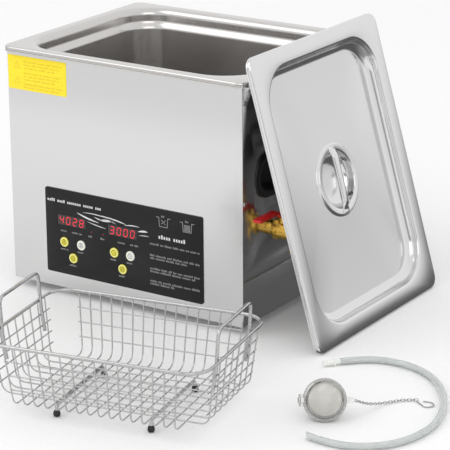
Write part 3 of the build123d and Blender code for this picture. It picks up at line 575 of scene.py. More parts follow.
def mesh_dome_tree():
    """Woven wire pressed to a dome: a square net whose distance from the middle is kept."""
    tree, inside, outside = new_tree("pressed_net", [
        ("Dome radius", "NodeSocketFloat"), ("Net radius", "NodeSocketFloat"),
        ("Wires across", "NodeSocketInt"), ("Wire diameter", "NodeSocketFloat"),
        ("Material", "NodeSocketMaterial")])
    radius = inside.outputs["Dome radius"]
    across = maths(tree, "MULTIPLY", inside.outputs["Net radius"], 2.0)
    net = add(tree, "GeometryNodeMeshGrid", links={
        "Size X": across, "Size Y": across,
        "Vertices X": inside.outputs["Wires across"], "Vertices Y": inside.outputs["Wires across"]})
    place = add(tree, "GeometryNodeInputPosition").outputs["Position"]
    away = add(tree, "ShaderNodeVectorMath", links={0: place}, operation="LENGTH").outputs["Value"]
    outer = add(tree, "FunctionNodeCompare", links={"A": away, "B": inside.outputs["Net radius"]},
                operation="GREATER_THAN")
    trimmed = add(tree, "GeometryNodeDeleteGeometry", links={
        "Geometry": net.outputs["Mesh"], "Selection": outer.outputs["Result"]}, domain="POINT")
    angle = maths(tree, "DIVIDE", away, radius)
    level = maths(tree, "MULTIPLY", maths(tree, "COSINE", angle), radius)
    spread = maths(tree, "MULTIPLY", maths(tree, "SINE", angle), radius)
    up = add(tree, "ShaderNodeCombineXYZ", links={"Z": level})
    way = add(tree, "ShaderNodeVectorMath", links={0: place}, operation="NORMALIZE")
    flat = add(tree, "ShaderNodeVectorMath", links={0: way.outputs["Vector"], "Scale": spread},
               operation="SCALE")
    point = add(tree, "ShaderNodeVectorMath", links={
        0: flat.outputs["Vector"], 1: up.outputs["Vector"]}, operation="ADD")
    dome = add(tree, "GeometryNodeSetPosition", links={
        "Geometry": trimmed.outputs["Geometry"], "Position": point.outputs["Vector"]})
    lines = add(tree, "GeometryNodeMeshToCurve", links={"Mesh": dome.outputs["Geometry"]})
    wire = wire_skin(tree, lines.outputs["Curve"], inside.outputs["Wire diameter"], 4, True)
    end_tree(tree, wire, inside, outside)
    return tree


def screw_tree():
    """One head on every point, looking along the point's facing attribute."""
    tree, inside, outside = new_tree("screw_heads", [
        ("Head", "NodeSocketObject"), ("Material", "NodeSocketMaterial")])
    head = add(tree, "GeometryNodeObjectInfo", links={"Object": inside.outputs["Head"]})
    facing = add(tree, "GeometryNodeInputNamedAttribute", {"Name": "facing"},
                 data_type="FLOAT_VECTOR")
    turned = add(tree, "FunctionNodeAlignRotationToVector",
                 links={"Vector": facing.outputs["Attribute"]}, axis="Z")
    copies = add(tree, "GeometryNodeInstanceOnPoints", links={
        "Points": inside.outputs["Geometry"], "Instance": head.outputs["Geometry"],
        "Rotation": turned.outputs["Rotation"]})
    end_tree(tree, copies.outputs["Instances"], inside, outside)
    return tree


def grow(thing, tree, **values):
    """Run a node tree on a piece and keep its result as plain mesh."""
    modifier = thing.modifiers.new(tree.name, "NODES")
    modifier.node_group = tree
    sockets = {s.name: s.identifier for s in tree.interface.items_tree if s.in_out == "INPUT"}
    for label, value in values.items():
        modifier[sockets[label.replace("_", " ")]] = value
    return bake(thing)


def wires(name, paths, diameter, finish_name, bend=0.001, sides=8, matrix=None, closed=False):
    """Bent round wires along lists of points."""
    points, edges = [], []
    for path in paths:
        first = len(points)
        points += [Vector(p) for p in path]
        edges += [(first + i, first + i + 1) for i in range(len(path) - 1)]
        if closed:
            edges.append((len(points) - 1, first))
    mesh = bpy.data.meshes.new(name)
    mesh.from_pydata(points, edges, [])
    thing = piece(name, mesh, finish_name)
    grow(thing, bent_wire_tree(), Wire_diameter=diameter, Bend_radius=bend, Bend_steps=6,
         Sides=sides, Material=FINISHES[finish_name])
    if matrix:
        move_into(thing, matrix)
    return thing


# ---- flat printing ------------------------------------------------------------------------
def ribbon(points, width, closed=False):
    """Four sided patches of a line of even width through (x, z) points."""
    spots = [Vector(p) for p in points]
    count = len(spots)
    sides = []
    for i, spot in enumerate(spots):
        before = spots[i - 1] if closed or i > 0 else None
        after = spots[(i + 1) % count] if closed or i < count - 1 else None
        ways = [(spot - before).normalized()] if before is not None else []
        ways += [(after - spot).normalized()] if after is not None else []
        mean = sum(ways, Vector((0, 0))).normalized()
        across = Vector((-mean.y, mean.x))
        reach = width / 2 / max(0.5, mean.dot(ways[0]))
        sides.append((spot + across * reach, spot - across * reach))
    pairs = list(zip(sides, sides[1:])) + ([(sides[-1], sides[0])] if closed else [])
    return [[right_a, right_b, left_b, left_a] for (left_a, right_a), (left_b, right_b) in pairs]


def bar(x0, x1, z0, z1):
    """A rectangle patch."""
    return [Vector((x0, z0)), Vector((x1, z0)), Vector((x1, z1)), Vector((x0, z1))]


def printing(name, patches, y, finish_name, raised=0.00006):
    """Thin ink on an upright face that looks along -Y, from patches in millimetres."""
    builder = bmesh.new()
    for patch in patches:
        builder.faces.new([builder.verts.new((p.x * MM, y, p.y * MM)) for p in patch])
    bmesh.ops.remove_doubles(builder, verts=builder.verts, dist=0.00001)
    thing = piece(name, built(builder, name), finish_name)
    ink = thing.modifiers.new("ink", "SOLIDIFY")
    ink.thickness = raised
    ink.offset = 1.0
    return bake(thing)


def mock_text(x0, x1, z, height, seed, letter=0.62):
    """A row of upright ticks in word lengths: reads as small print and says nothing."""
    draw = random.Random(seed)
    patches, x = [], x0
    pitch = height * letter
    while x + pitch * 2 < x1:
        for _ in range(draw.randint(3, 9)):
            if x + pitch > x1:
                break
            tall = height * draw.choice((0.72, 0.72, 0.72, 1.0))
            low = z - height / 2
            patches.append(bar(x, x + pitch * 0.62, low, low + tall))
            x += pitch
        x += pitch
    return patches


SEGMENTS = {
    "0": "abcdef", "2": "abged", "3": "abgcd", "4": "fgbc", "8": "abcdefg",
}


def digit_patches(text, middle, width, height, stroke, pitch):
    """Lit and unlit segments of a row of seven segment digits."""
    lit, dark = [], []
    slant = 0.12
    for place, figure in enumerate(text):
        cx = middle[0] + (place - (len(text) - 1) / 2) * pitch
        cz = middle[1]
        half_w, half_h = width / 2 - stroke / 2, height / 2 - stroke / 2
        ends = {
            "a": ((-half_w, half_h), (half_w, half_h)), "g": ((-half_w, 0), (half_w, 0)),
            "d": ((-half_w, -half_h), (half_w, -half_h)),
            "f": ((-half_w, half_h), (-half_w, 0)), "b": ((half_w, half_h), (half_w, 0)),
            "e": ((-half_w, 0), (-half_w, -half_h)), "c": ((half_w, 0), (half_w, -half_h)),
        }
        for label, (start, end) in ends.items():
            a, b = Vector(start), Vector(end)
            way = (b - a).normalized()
            gap = stroke * 0.25
            across = Vector((-way.y, way.x)) * stroke / 2
            inner_a, inner_b = a + way * (gap + stroke / 2), b - way * (gap + stroke / 2)
            outline = [a + way * gap, inner_a - across, inner_b - across, b - way * gap,
                       inner_b + across, inner_a + across]
            patch = [Vector((cx + p.x + slant * p.y, cz + p.y)) for p in outline]
            (lit if label in SEGMENTS[figure] else dark).append(patch)
    return lit, dark


def circle_points(cx, cz, radius, start=0.0, end=360.0, steps=24):
    """Points of an arc in degrees, or of a whole circle without its last point."""
    whole = end - start >= 360.0
    count = steps if whole else steps + 1
    angles = [radians(start + (end - start) * i / steps) for i in range(count)]
    return [(cx + radius * cos(a), cz + radius * sin(a)) for a in angles]


# ---- cords -------------------------------------------------------------------------------
def smooth_line(name, route):
    """Points along the smooth spline that a route in millimetres controls."""
    data = bpy.data.curves.new(name, "CURVE")
    data.dimensions = "3D"
    data.resolution_u = 16
    spline = data.splines.new("NURBS")
    spline.points.add(len(route) - 1)
    for point, place in zip(spline.points, route):
        point.co = (*mm(*place), 1.0)
    spline.order_u = 3
    spline.use_endpoint_u = True
    thing = bpy.data.objects.new(name, data)
    mesh = bpy.data.meshes.new_from_object(thing)
    line = [vertex.co.copy() for vertex in mesh.vertices]
    bpy.data.meshes.remove(mesh)
    bpy.data.curves.remove(data)
    return line


def ring_frames(line):
    """Sideways and upward axes at each point of a line that lies about level."""
    result = []
    for i, point in enumerate(line):
        way = (line[min(i + 1, len(line) - 1)] - line[max(i - 1, 0)]).normalized()
        side = way.cross(Vector((0, 0, 1))).normalized()
        result.append((point, way, side, side.cross(way)))
    return result


# ---- properties --------------------------------------------------------------------------
class CleanerSheet(bpy.types.PropertyGroup):
    """Sheet metal of the tank and the lid."""

    wall: FloatProperty(
        name="Sheet thickness", description="Thickness of the stainless sheet", default=0.001,
        min=0.0004, max=0.002, subtype="DISTANCE", unit="LENGTH")
    mouth_round: FloatProperty(
        name="Mouth rounding", description="Radius from the flat rim into the tank",
        default=0.008, min=0.002, max=0.012, subtype="DISTANCE", unit="LENGTH")
    tank_floor: FloatProperty(
        name="Tank floor height", description="Height of the tank floor above the bench",
        default=TANK_LOW.z + 0.001, subtype="DISTANCE", unit="LENGTH")
    lid_depth: FloatProperty(
        name="Lid dish depth", description="How far the middle of the lid is sunk",
        default=0.014, min=0.006, max=0.014, subtype="DISTANCE", unit="LENGTH")


class CleanerBasket(bpy.types.PropertyGroup):
    """Wires of the basket."""

    mesh_wire: FloatProperty(
        name="Mesh wire", description="Diameter of the welded mesh wires", default=0.0015,
        min=0.001, max=0.0024, subtype="DISTANCE", unit="LENGTH")
    rim_wire: FloatProperty(
        name="Rim wire", description="Diameter of the rim wire", default=0.0038,
        min=0.003, max=0.0045, subtype="DISTANCE", unit="LENGTH")
    bar_wire: FloatProperty(
        name="Handle wire", description="Diameter of the handles and foot rods",
        default=0.0038, min=0.003, max=0.004, subtype="DISTANCE", unit="LENGTH")
    cross_wires: IntProperty(
        name="Cross wires", description="Wires that run across the basket", default=16,
        min=4, max=24)
    long_wires: IntProperty(
        name="Long wires", description="Wires that run along the basket", default=8,
        min=3, max=12)


class CleanerBall(bpy.types.PropertyGroup):
    """Mesh ball and its chain."""

    dome_radius: FloatProperty(
        name="Dome radius", description="Radius of the wire domes", default=0.0192,
        min=0.015, max=0.0193, subtype="DISTANCE", unit="LENGTH")
    net_wires: IntProperty(
        name="Wires across", description="Wires across each dome", default=40, min=12, max=48)
    link_pitch: FloatProperty(
        name="Link pitch", description="Distance from link to link", default=0.0034,
        min=0.002, max=0.006, subtype="DISTANCE", unit="LENGTH")


class CleanerColours(bpy.types.PropertyGroup):
    """Colours and light of the whole object."""

    steel: StringProperty(
        name="Sheet colour", description="sRGB hex colour of the bright sheet", default="#d9d9d9")
    glow: FloatProperty(
        name="Digit glow", description="Emission of the lit segments", default=0.45,
        min=0.0, max=10.0, subtype="FACTOR")


# ---- camera and cords first ---------------------------------------------------------------
CAMERA_PLACE = mm(1352.5, -1974.9, 862.3)
CAMERA_TURN = (radians(33.388), radians(18.443), radians(-0.367))     # azimuth, height, roll
CAMERA_LENS, CAMERA_FILM = 173.2, 36.0                                # millimetres
CAMERA_REACH = 60.0


class CLEANER_OT_camera(bpy.types.Operator):
    """Set up the viewing camera"""

    bl_idname = "cleaner.camera"
    bl_label = "Camera"

    def execute(self, context):
        azimuth, elevation, roll = CAMERA_TURN
        back = Vector((sin(azimuth) * cos(elevation), -cos(azimuth) * cos(elevation),
                       sin(elevation)))
        right = (-back).cross(Vector((0, 0, 1))).normalized()
        up = right.cross(-back)
        rolled_right = right * cos(roll) + up * sin(roll)
        rolled_up = up * cos(roll) - right * sin(roll)
        data = bpy.data.cameras.new("camera")
        data.lens = CAMERA_LENS
        data.sensor_width = CAMERA_FILM
        data.clip_end = CAMERA_REACH
        camera = bpy.data.objects.new("camera", data)
        camera.matrix_world = axes(rolled_right, rolled_up, back, CAMERA_PLACE)
        context.scene.collection.objects.link(camera)
        context.scene.camera = camera
        return {"FINISHED"}


class CLEANER_OT_hose(bpy.types.Operator):
    """Make the clear drain hose, with its bore and its slanted cut end"""

    bl_idname = "cleaner.hose"
    bl_label = "Drain hose"

    def execute(self, context):
        line = smooth_line("hose_line", [(x, y, HOSE_HEIGHT) for x, y in HOSE_ROUTE])
        sides, outer, inner, cut = 20, 0.0035, 0.0025, 0.0035
        builder = bmesh.new()
        rings = []
        frames = ring_frames(line)
        for radius in (outer, inner):
            row = []
            for index, (point, way, side, up) in enumerate(frames):
                ring = []
                for step in range(sides):
                    angle = 2 * pi * step / sides
                    offset = side * (radius * cos(angle)) + up * (radius * sin(angle))
                    slide = way * (cut * cos(angle)) if index == len(frames) - 1 else Vector()
                    ring.append(builder.verts.new(point + offset + slide))
                row.append(ring)
            rings.append(row)
        for wall in rings:
            skin(builder, wall)
        for end in (0, -1):
            skin(builder, [rings[0][end], rings[1][end]])
        bmesh.ops.recalc_face_normals(builder, faces=builder.faces)
        hose = soften(piece("clear_hose", built(builder, "clear_hose"), "hose_clear"), 50)
        belongs(hose, "hose", "hose_clear", "drain_hose")
        return {"FINISHED"}


class CLEANER_OT_chain(bpy.types.Operator):
    """Make the ball's chain and the hook on its end"""

    bl_idname = "cleaner.chain"
    bl_label = "Chain and hook"

    def execute(self, context):
        ball = context.scene.cleaner_ball
        line = smooth_line("chain_line", CHAIN_ROUTE)
        mesh = bpy.data.meshes.new("ball_chain")
        mesh.from_pydata(line, [(i, i + 1) for i in range(len(line) - 1)], [])
        chain = piece("ball_chain", mesh, "ball_steel")
        grow(chain, chain_tree(), Pitch=ball.link_pitch, Link_length=0.0046, Link_width=0.0024,
             Wire_diameter=0.0007, Material=FINISHES["ball_steel"])
        belongs(chain, "strainer", "ball_steel", "strainer_chain")
        hook = wires("chain_hook", [[mm(x, y, 1.0) for x, y in HOOK_ROUTE]], 0.0013,
                     "ball_steel", bend=0.004, sides=8)
        belongs(hook, "strainer", "ball_steel")
        return {"FINISHED"}


# ---- tank, casing and lid ------------------------------------------------------------------
class CLEANER_OT_tank(bpy.types.Operator):
    """Make the deep drawn tank with its hemmed rim, stacking step and drain hole"""

    bl_idname = "cleaner.tank"
    bl_label = "Tank"

    def execute(self, context):
        sheet = context.scene.cleaner_sheet
        step_top, step_low, step_in = RIM_TOP - 0.014, RIM_TOP - 0.024, 0.004
        loops = [rounded_loop(RIM, inset, z) for inset, z in rim_profile(RIM_TOP)]
        curl = sheet.mouth_round
        inner = [(-curl, RIM_TOP)]
        inner += quarter((-curl, RIM_TOP), (0.0, RIM_TOP - curl), True)
        inner += [(0.0, step_top)] + ease((0.0, step_top), (step_in, step_low))
        inner += [(step_in, sheet.tank_floor + 0.010)]
        inner += quarter((step_in, sheet.tank_floor + 0.010), (step_in + 0.010, sheet.tank_floor),
                         False, 8)
        loops += [rounded_loop(MOUTH, inset, z) for inset, z in inner]
        hole = [Vector((0.006 * cos(a), 0.006 * sin(a), sheet.tank_floor)) + DRAIN_HOLE
                for a in [2 * pi * i / 24 for i in range(24)]]
        tank = loft("drawn_tank", loops, "tank_steel", hole)
        belongs(soften(thicken(tank, sheet.wall)), "casing", "tank_steel", "tank_pan")
        return {"FINISHED"}


class CLEANER_OT_lid(bpy.types.Operator):
    """Make the dished lid with its finger bowl and strap handle"""

    bl_idname = "cleaner.lid"
    bl_label = "Lid"

    def execute(self, context):
        sheet = context.scene.cleaner_sheet
        depth = sheet.lid_depth
        loops = [rounded_loop(RIM, inset, z) for inset, z in rim_profile(0.0)]
        dish = [(-0.003, 0.0)] + quarter((-0.003, 0.0), (0.0, -0.003), True)
        dish += quarter((0.0, -0.003), (0.011, -depth), False, 10)
        loops += [rounded_loop(DISH, inset, z) for inset, z in dish]
        ring = [(0.0415, -depth)] + ease((0.0415, -depth), (0.0385, -depth + 0.002), 6)
        ring += [(0.0340, -depth + 0.002)]
        ring += quarter((0.0340, -depth + 0.002), (0.0320, -depth), True, 4)
        ring += [(0.0318, -depth - 0.002)]
        ring += quarter((0.0318, -depth - 0.002), (0.0180, -depth - 0.014), False, 10)
        ring += [(0.0060, -depth - 0.014)]
        loops += [round_loop(radius, z) for radius, z in ring]
        lid = thicken(loft("dished_lid", loops, "lid_steel"), sheet.wall)
        belongs(soften(move_into(lid, lid_place())), "lid", "lid_steel", "lid_sheet")
        strap = self.strap(-depth + 0.002)
        belongs(soften(move_into(strap, lid_place())), "lid", "lid_steel", "lid_strap_handle")
        return {"FINISHED"}

    def strap(self, base):
        """Half round bar with flattened, dimpled ends."""
        stations = [(-38.4, 1.0, 8.0), (-38.0, 1.7, 11.0), (-36.5, 2.0, 12.0), (-34.5, 1.5, 12.0),
                    (-32.5, 2.0, 12.0), (-30.5, 2.6, 11.4), (-28.0, 4.3, 10.2), (-25.0, 4.9, 9.8),
                    (-12.0, 5.0, 9.6)]
        stations += [(-x, height, width) for x, height, width in reversed(stations)]
        builder = bmesh.new()
        rows = []
        for x, height, width in stations:
            row = []
            for step in range(13):
                angle = pi * step / 12
                row.append(builder.verts.new(
                    (x * MM, cos(angle) * width / 2 * MM, base + sin(angle) ** 0.8 * height * MM)))
            rows.append(row)
        skin(builder, rows)
        builder.faces.new(rows[0])
        builder.faces.new(rows[-1])
        bmesh.ops.recalc_face_normals(builder, faces=builder.faces)
        return piece("lid_strap", built(builder, "lid_strap"), "lid_steel")


def smooth_edges_tree():
    """Shading that is smooth except over edges sharper than a third of a right angle."""
    tree = bpy.data.node_groups.new("smooth_edges", "GeometryNodeTree")
    tree.interface.new_socket("Geometry", in_out="INPUT", socket_type="NodeSocketGeometry")
    tree.interface.new_socket("Sharp angle", in_out="INPUT", socket_type="NodeSocketFloat")
    tree.interface.new_socket("Geometry", in_out="OUTPUT", socket_type="NodeSocketGeometry")
    inside, outside = add(tree, "NodeGroupInput"), add(tree, "NodeGroupOutput")
    angle = add(tree, "GeometryNodeInputMeshEdgeAngle")
    blunt = add(tree, "FunctionNodeCompare", links={
        "A": angle.outputs["Unsigned Angle"], "B": inside.outputs["Sharp angle"]},
        operation="LESS_THAN")
    faces = add(tree, "GeometryNodeSetShadeSmooth", links={"Geometry": inside.outputs["Geometry"]},
                domain="FACE")
    edges = add(tree, "GeometryNodeSetShadeSmooth", links={
        "Geometry": faces.outputs["Geometry"], "Shade Smooth": blunt.outputs["Result"]},
        domain="EDGE")
    tree.links.new(edges.outputs["Geometry"], outside.inputs["Geometry"])
    return tree


BEVELS = {
    "front_panel": 0.4, "rear_panel": 0.3, "left_side_panel": 0.25, "right_side_panel": 0.25,
    "base_tray": 0.25, "handle_cups": 0.5, "mains_inlet": 0.4, "switch_frame": 0.4,
    "fan_frame": 0.5, "fan_rotor": 0.3, "control_fascia": 0.15, "display_modules": 0.2,
    "indicator_lamps": 0.4, "front_label": 0.05, "rubber_feet": 0.8, "rim_gasket": 0.3,
    "generator_board": 0.2, "display_board": 0.2, "transducer_front_masses": 0.5,
    "heat_sink": 0.3, "board_standoffs": 0.3, "piezo_rings": 0.3, "transducer_electrodes": 0.08,
    "transducer_back_masses": 0.6, "transducer_bolts": 0.5, "heater_pads": 0.4,
    "temperature_sensor": 0.5, "output_transformer": 0.6, "capacitors": 0.8,
    "drain_pipe": 0.2, "valve_body": 0.5, "valve_ball": 0.2, "valve_lever": 0.6,
    "switch_rocker": 0.4, "temp_up_button": 0.2, "temp_down_button": 0.2,
    "heat_power_button": 0.2, "time_up_button": 0.2, "time_down_button": 0.2,
    "sonic_power_button": 0.2, "hose_fitting": 0.3, "mains_wires": 0.0,
}


class CLEANER_OT_frame_parts(bpy.types.Operator):
    """Finish the parts whose shape comes straight from the frame"""

    bl_idname = "cleaner.frame_parts"
    bl_label = "Panels, controls and works"

    def execute(self, context):
        tree = smooth_edges_tree()
        angle_socket = [s.identifier for s in tree.interface.items_tree
                        if s.name == "Sharp angle"][0]
        for name, width in BEVELS.items():
            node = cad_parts[name]
            for part in node.material_slots:
                part.material = FINISHES[part.material.name.split(".")[0]]
            weld = node.modifiers.new("weld", "WELD")
            weld.merge_threshold = 0.00001
            if width:
                edge = node.modifiers.new("edge", "BEVEL")
                edge.width = width * MM
                edge.segments = 2
                edge.limit_method = "ANGLE"
                edge.angle_limit = radians(40)
                edge.use_clamp_overlap = True
            shade = node.modifiers.new("shade", "NODES")
            shade.node_group = tree
            shade[angle_socket] = radians(30)
        return {"FINISHED"}


class CLEANER_OT_screws(bpy.types.Operator):
    """Make the cross recessed screws down the edges of the side panels"""

    bl_idname = "cleaner.screws"
    bl_label = "Casing screws"

    def execute(self, context):
        low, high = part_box("case_screws")
        head = self.head()
        spots, facing = [], []
        for side in (-1, 1):
            face_x = side * (high.x - 0.0012)
            for y in (low.y + 0.0027, high.y - 0.0027):
                for z in (34.0, 150.0, 262.0):
                    spots.append((face_x, y, z * MM))
                    facing.append((side, 0.0, 0.0))
        mesh = bpy.data.meshes.new("case_pan_heads")
        mesh.from_pydata(spots, [], [])
        held = mesh.attributes.new("facing", "FLOAT_VECTOR", "POINT")
        held.data.foreach_set("vector", [v for way in facing for v in way])
        screws = piece("case_pan_heads", mesh, "screw_steel")
        grow(screws, screw_tree(), Head=head, Material=FINISHES["screw_steel"])
        bpy.data.objects.remove(head)
        belongs(soften(screws), "casing", "screw_steel", "case_screws")
        return {"FINISHED"}

    def head(self):
        """Pan head 5.2 mm across with a cross recess, standing on its seat."""
        builder = bmesh.new()
        sides, radius, arm, slot, depth = 24, 2.6, 1.5, 0.42, 0.7
        rings = [(radius, 0.0), (radius, 0.35), (radius * 0.9, 0.8), (radius * 0.74, 1.05)]
        rows = []
        for r, z in rings:
            rows.append([builder.verts.new((r * MM * cos(2 * pi * i / sides),
                                            r * MM * sin(2 * pi * i / sides), z * MM))
                         for i in range(sides)])
        skin(builder, rows)
        builder.faces.new(list(reversed(rows[0])))
        cross = [(slot, slot), (slot, arm), (-slot, arm), (-slot, slot), (-arm, slot),
                 (-arm, -slot), (-slot, -slot), (-slot, -arm), (slot, -arm), (slot, -slot),
                 (arm, -slot), (arm, slot)]
        top = [builder.verts.new((x * MM, y * MM, 1.05 * MM)) for x, y in cross]
        pit = [builder.verts.new((x * MM, y * MM, (1.05 - depth) * MM)) for x, y in cross]
        count = len(cross)
        skin(builder, [pit, top])
        builder.faces.new(pit)
        edges = [builder.edges.get((rows[-1][i - 1], rows[-1][i])) for i in range(sides)]
        edges += [builder.edges.get((top[i - 1], top[i])) for i in range(count)]
        bmesh.ops.triangle_fill(builder, use_beauty=True, edges=edges)
        bmesh.ops.recalc_face_normals(builder, faces=builder.faces)
        return piece("pan_head", built(builder, "pan_head"), "screw_steel")


# ---- printing on the front ---------------------------------------------------------------
class CLEANER_OT_front_print(bpy.types.Operator):
    """Print the control film, the digits, the key symbols and the yellow label"""

    bl_idname = "cleaner.front_print"
    bl_label = "Front printing"

    def execute(self, context):
        self.film()
        self.digits()
        self.keys()
        self.label()
        return {"FINISHED"}

    def film(self):
        """White print on the black film."""
        face = FASCIA_LOW.y
        title = mock_text(-105.5, -27.5, 114.0, 3.6, 4, 0.78)
        headline = mock_text(48.0, 87.0, 95.8, 4.6, 7, 0.72)
        belongs(printing("film_title", title + headline, face, "ink_white"), "casing", "fascia")
        small = []
        for row, (x0, x1, z) in enumerate(((36, 103, 86.0), (36, 103, 72.5), (36, 88, 69.2),
                                           (36, 103, 57.0), (36, 98, 53.7), (36, 103, 42.4),
                                           (36, 70, 39.1))):
            small += mock_text(x0, x1, z, 2.5, 20 + row)
        for seed, (x0, x1, z) in enumerate(((-88, -79, 79.3), (-72, -57, 79.2), (-8, 3, 79.2),
                                            (9, 21, 79.2), (-49, -42, 79.0), (-32, -25, 79.0))):
            small += mock_text(x0, x1, z, 2.3, 40 + seed)
        for seed, (x, z, _) in enumerate(BUTTONS.values()):
            small += mock_text(x - 5.4, x + 5.8, z - 8.6, 2.2, 60 + seed)
        belongs(printing("film_small_print", small, face, "ink_grey"), "casing", "fascia")
        icons = []
        for x, z in ((54.6, 114.0), (86.2, 113.5)):
            icons += ribbon([(x - 9.5, z + 4.5), (x - 6.0, z + 4.5), (x - 5.2, z - 6.0),
                             (x + 5.2, z - 6.0), (x + 6.0, z + 4.5), (x + 9.5, z + 4.5)], 0.8)
        icons += ribbon([(51.6, 111.0), (57.6, 116.0)], 0.7)
        icons += ribbon([(51.6, 116.0), (57.6, 111.0)], 0.7)
        for level in range(5):
            icons.append(bar(82.2, 90.2, 108.6 + level * 1.5, 109.5 + level * 1.5))
        icons += mock_text(52.0, 57.6, 120.0, 2.4, 81) + mock_text(83.8, 89.4, 119.5, 2.4, 82)
        belongs(printing("film_icons", icons, face, "ink_grey"), "casing", "fascia")
        belongs(printing("film_ripples", self.ripples(), face, "ink_white"), "casing", "fascia")

    def ripples(self):
        """Tapered strokes that suggest moving water, between the two displays."""
        strokes = [((-64, 104.0), (-52, 99.5), (-34, 97.2), 2.0),
                   ((-50, 96.0), (-36, 93.0), (-24, 92.0), 1.0),
                   ((-56, 105.6), (-38, 107.4), (-20, 104.4), 1.0),
                   ((-30, 106.4), (-8, 104.6), (4, 101.6), 1.5),
                   ((-40, 103.0), (-28, 99.0), (-14, 102.0), 1.6),
                   ((-34, 100.4), (-22, 104.4), (-10, 99.8), 1.1),
                   ((2, 100.4), (12, 102.8), (22, 101.8), 1.2),
                   ((20, 96.4), (28, 98.6), (33, 98.0), 2.2),
                   ((21, 92.0), (29, 93.6), (35, 93.0), 0.8)]
        patches = []
        for start, middle, end, width in strokes:
            a, b, c = Vector(start), Vector(middle), Vector(end)
            spots = []
            for i in range(11):
                t = i / 10
                spot = a * (1 - t) ** 2 + b * 2 * t * (1 - t) + c * t ** 2
                way = ((b - a) * (1 - t) + (c - b) * t).normalized()
                thick = width / 2 * sin(pi * (0.06 + 0.88 * t))
                across = Vector((-way.y, way.x)) * thick
                spots.append((spot + across, spot - across))
            for (left_a, right_a), (left_b, right_b) in zip(spots, spots[1:]):
                patches.append([right_a, right_b, left_b, left_a])
        return patches

    def digits(self):
        """Lit and unlit segments behind the display windows."""
        lit, dark = [], []
        for figures, side in (("4028", "left"), ("3000", "right")):
            on, off = digit_patches(figures, DISPLAYS[side], 5.8, 9.4, 0.95, 9.3)
            lit += on
            dark += off
        face = MODULE_LOW.y
        belongs(printing("digits_lit", lit, face, "segment_lit"), "casing", "display_glass")
        belongs(printing("digits_unlit", dark, face, "segment_dark"), "casing", "display_glass")

    def keys(self):
        """A painted highlight ring round each key's edge and a dark printed symbol on each key."""
        for name, (x, z, symbol) in BUTTONS.items():
            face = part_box(name)[0].y
            # the pale ring at each key's edge is a painted highlight of its rounded rim
            rim = ribbon(circle_points(x, z, 4.75), 0.7, closed=True)
            key_slot = "button_white" if "down" in name else "button_yellow"
            belongs(printing(name + "_rim", rim, face, "key_rim_painted_highlight"), name, key_slot)
            marks = ribbon(circle_points(x, z, 2.9, 0, 360), 0.5, closed=True)
            if symbol == "power":
                marks += ribbon([(x, z + 0.1), (x, z + 2.0)], 0.6)
                marks += ribbon(circle_points(x, z, 1.5, 130, 410, 12), 0.5)
            elif symbol == "clock":
                marks += ribbon([(x, z + 1.7), (x, z), (x + 1.3, z - 0.9)], 0.5)
            else:
                marks += ribbon([(x, z + 2.0), (x - 1.1, z - 0.4), (x, z - 1.5),
                                 (x + 1.1, z - 0.4)], 0.5, closed=True)
            belongs(printing(name + "_symbol", marks, face, "ink_dark"), name, key_slot)

    def label(self):
        """Darker yellow lines and two small warning shapes on the label."""
        left, top = LABEL_LOW.x / MM, LABEL_HIGH.z / MM
        rows = []
        for row in range(8):
            gap = 0 if row < 3 else 2.0 if row < 6 else 3.6
            rows += mock_text(left + 22.5, left + 77 - 5 * (row % 3), top - 6.2 - row * 3.7 - gap,
                              2.2, 100 + row)
        for z in (top - 11.0, top - 28.5):
            x = left + 13.0
            rows += ribbon([(x - 4.2, z - 3.2), (x + 4.2, z - 3.2), (x, z + 4.2)], 0.6, closed=True)
            rows.append(bar(x - 0.4, x + 0.4, z - 1.6, z + 1.6))
        belongs(printing("label_lines", rows, LABEL_LOW.y, "ink_ochre"), "casing", "label_yellow")


# ---- basket --------------------------------------------------------------------------------
BASKET_RIM = (240.0, 170.0, 25.0)
BASKET_RIM_HEIGHT, BASKET_FLOOR_HEIGHT, BASKET_TAPER = 80.0, 15.0, 8.0


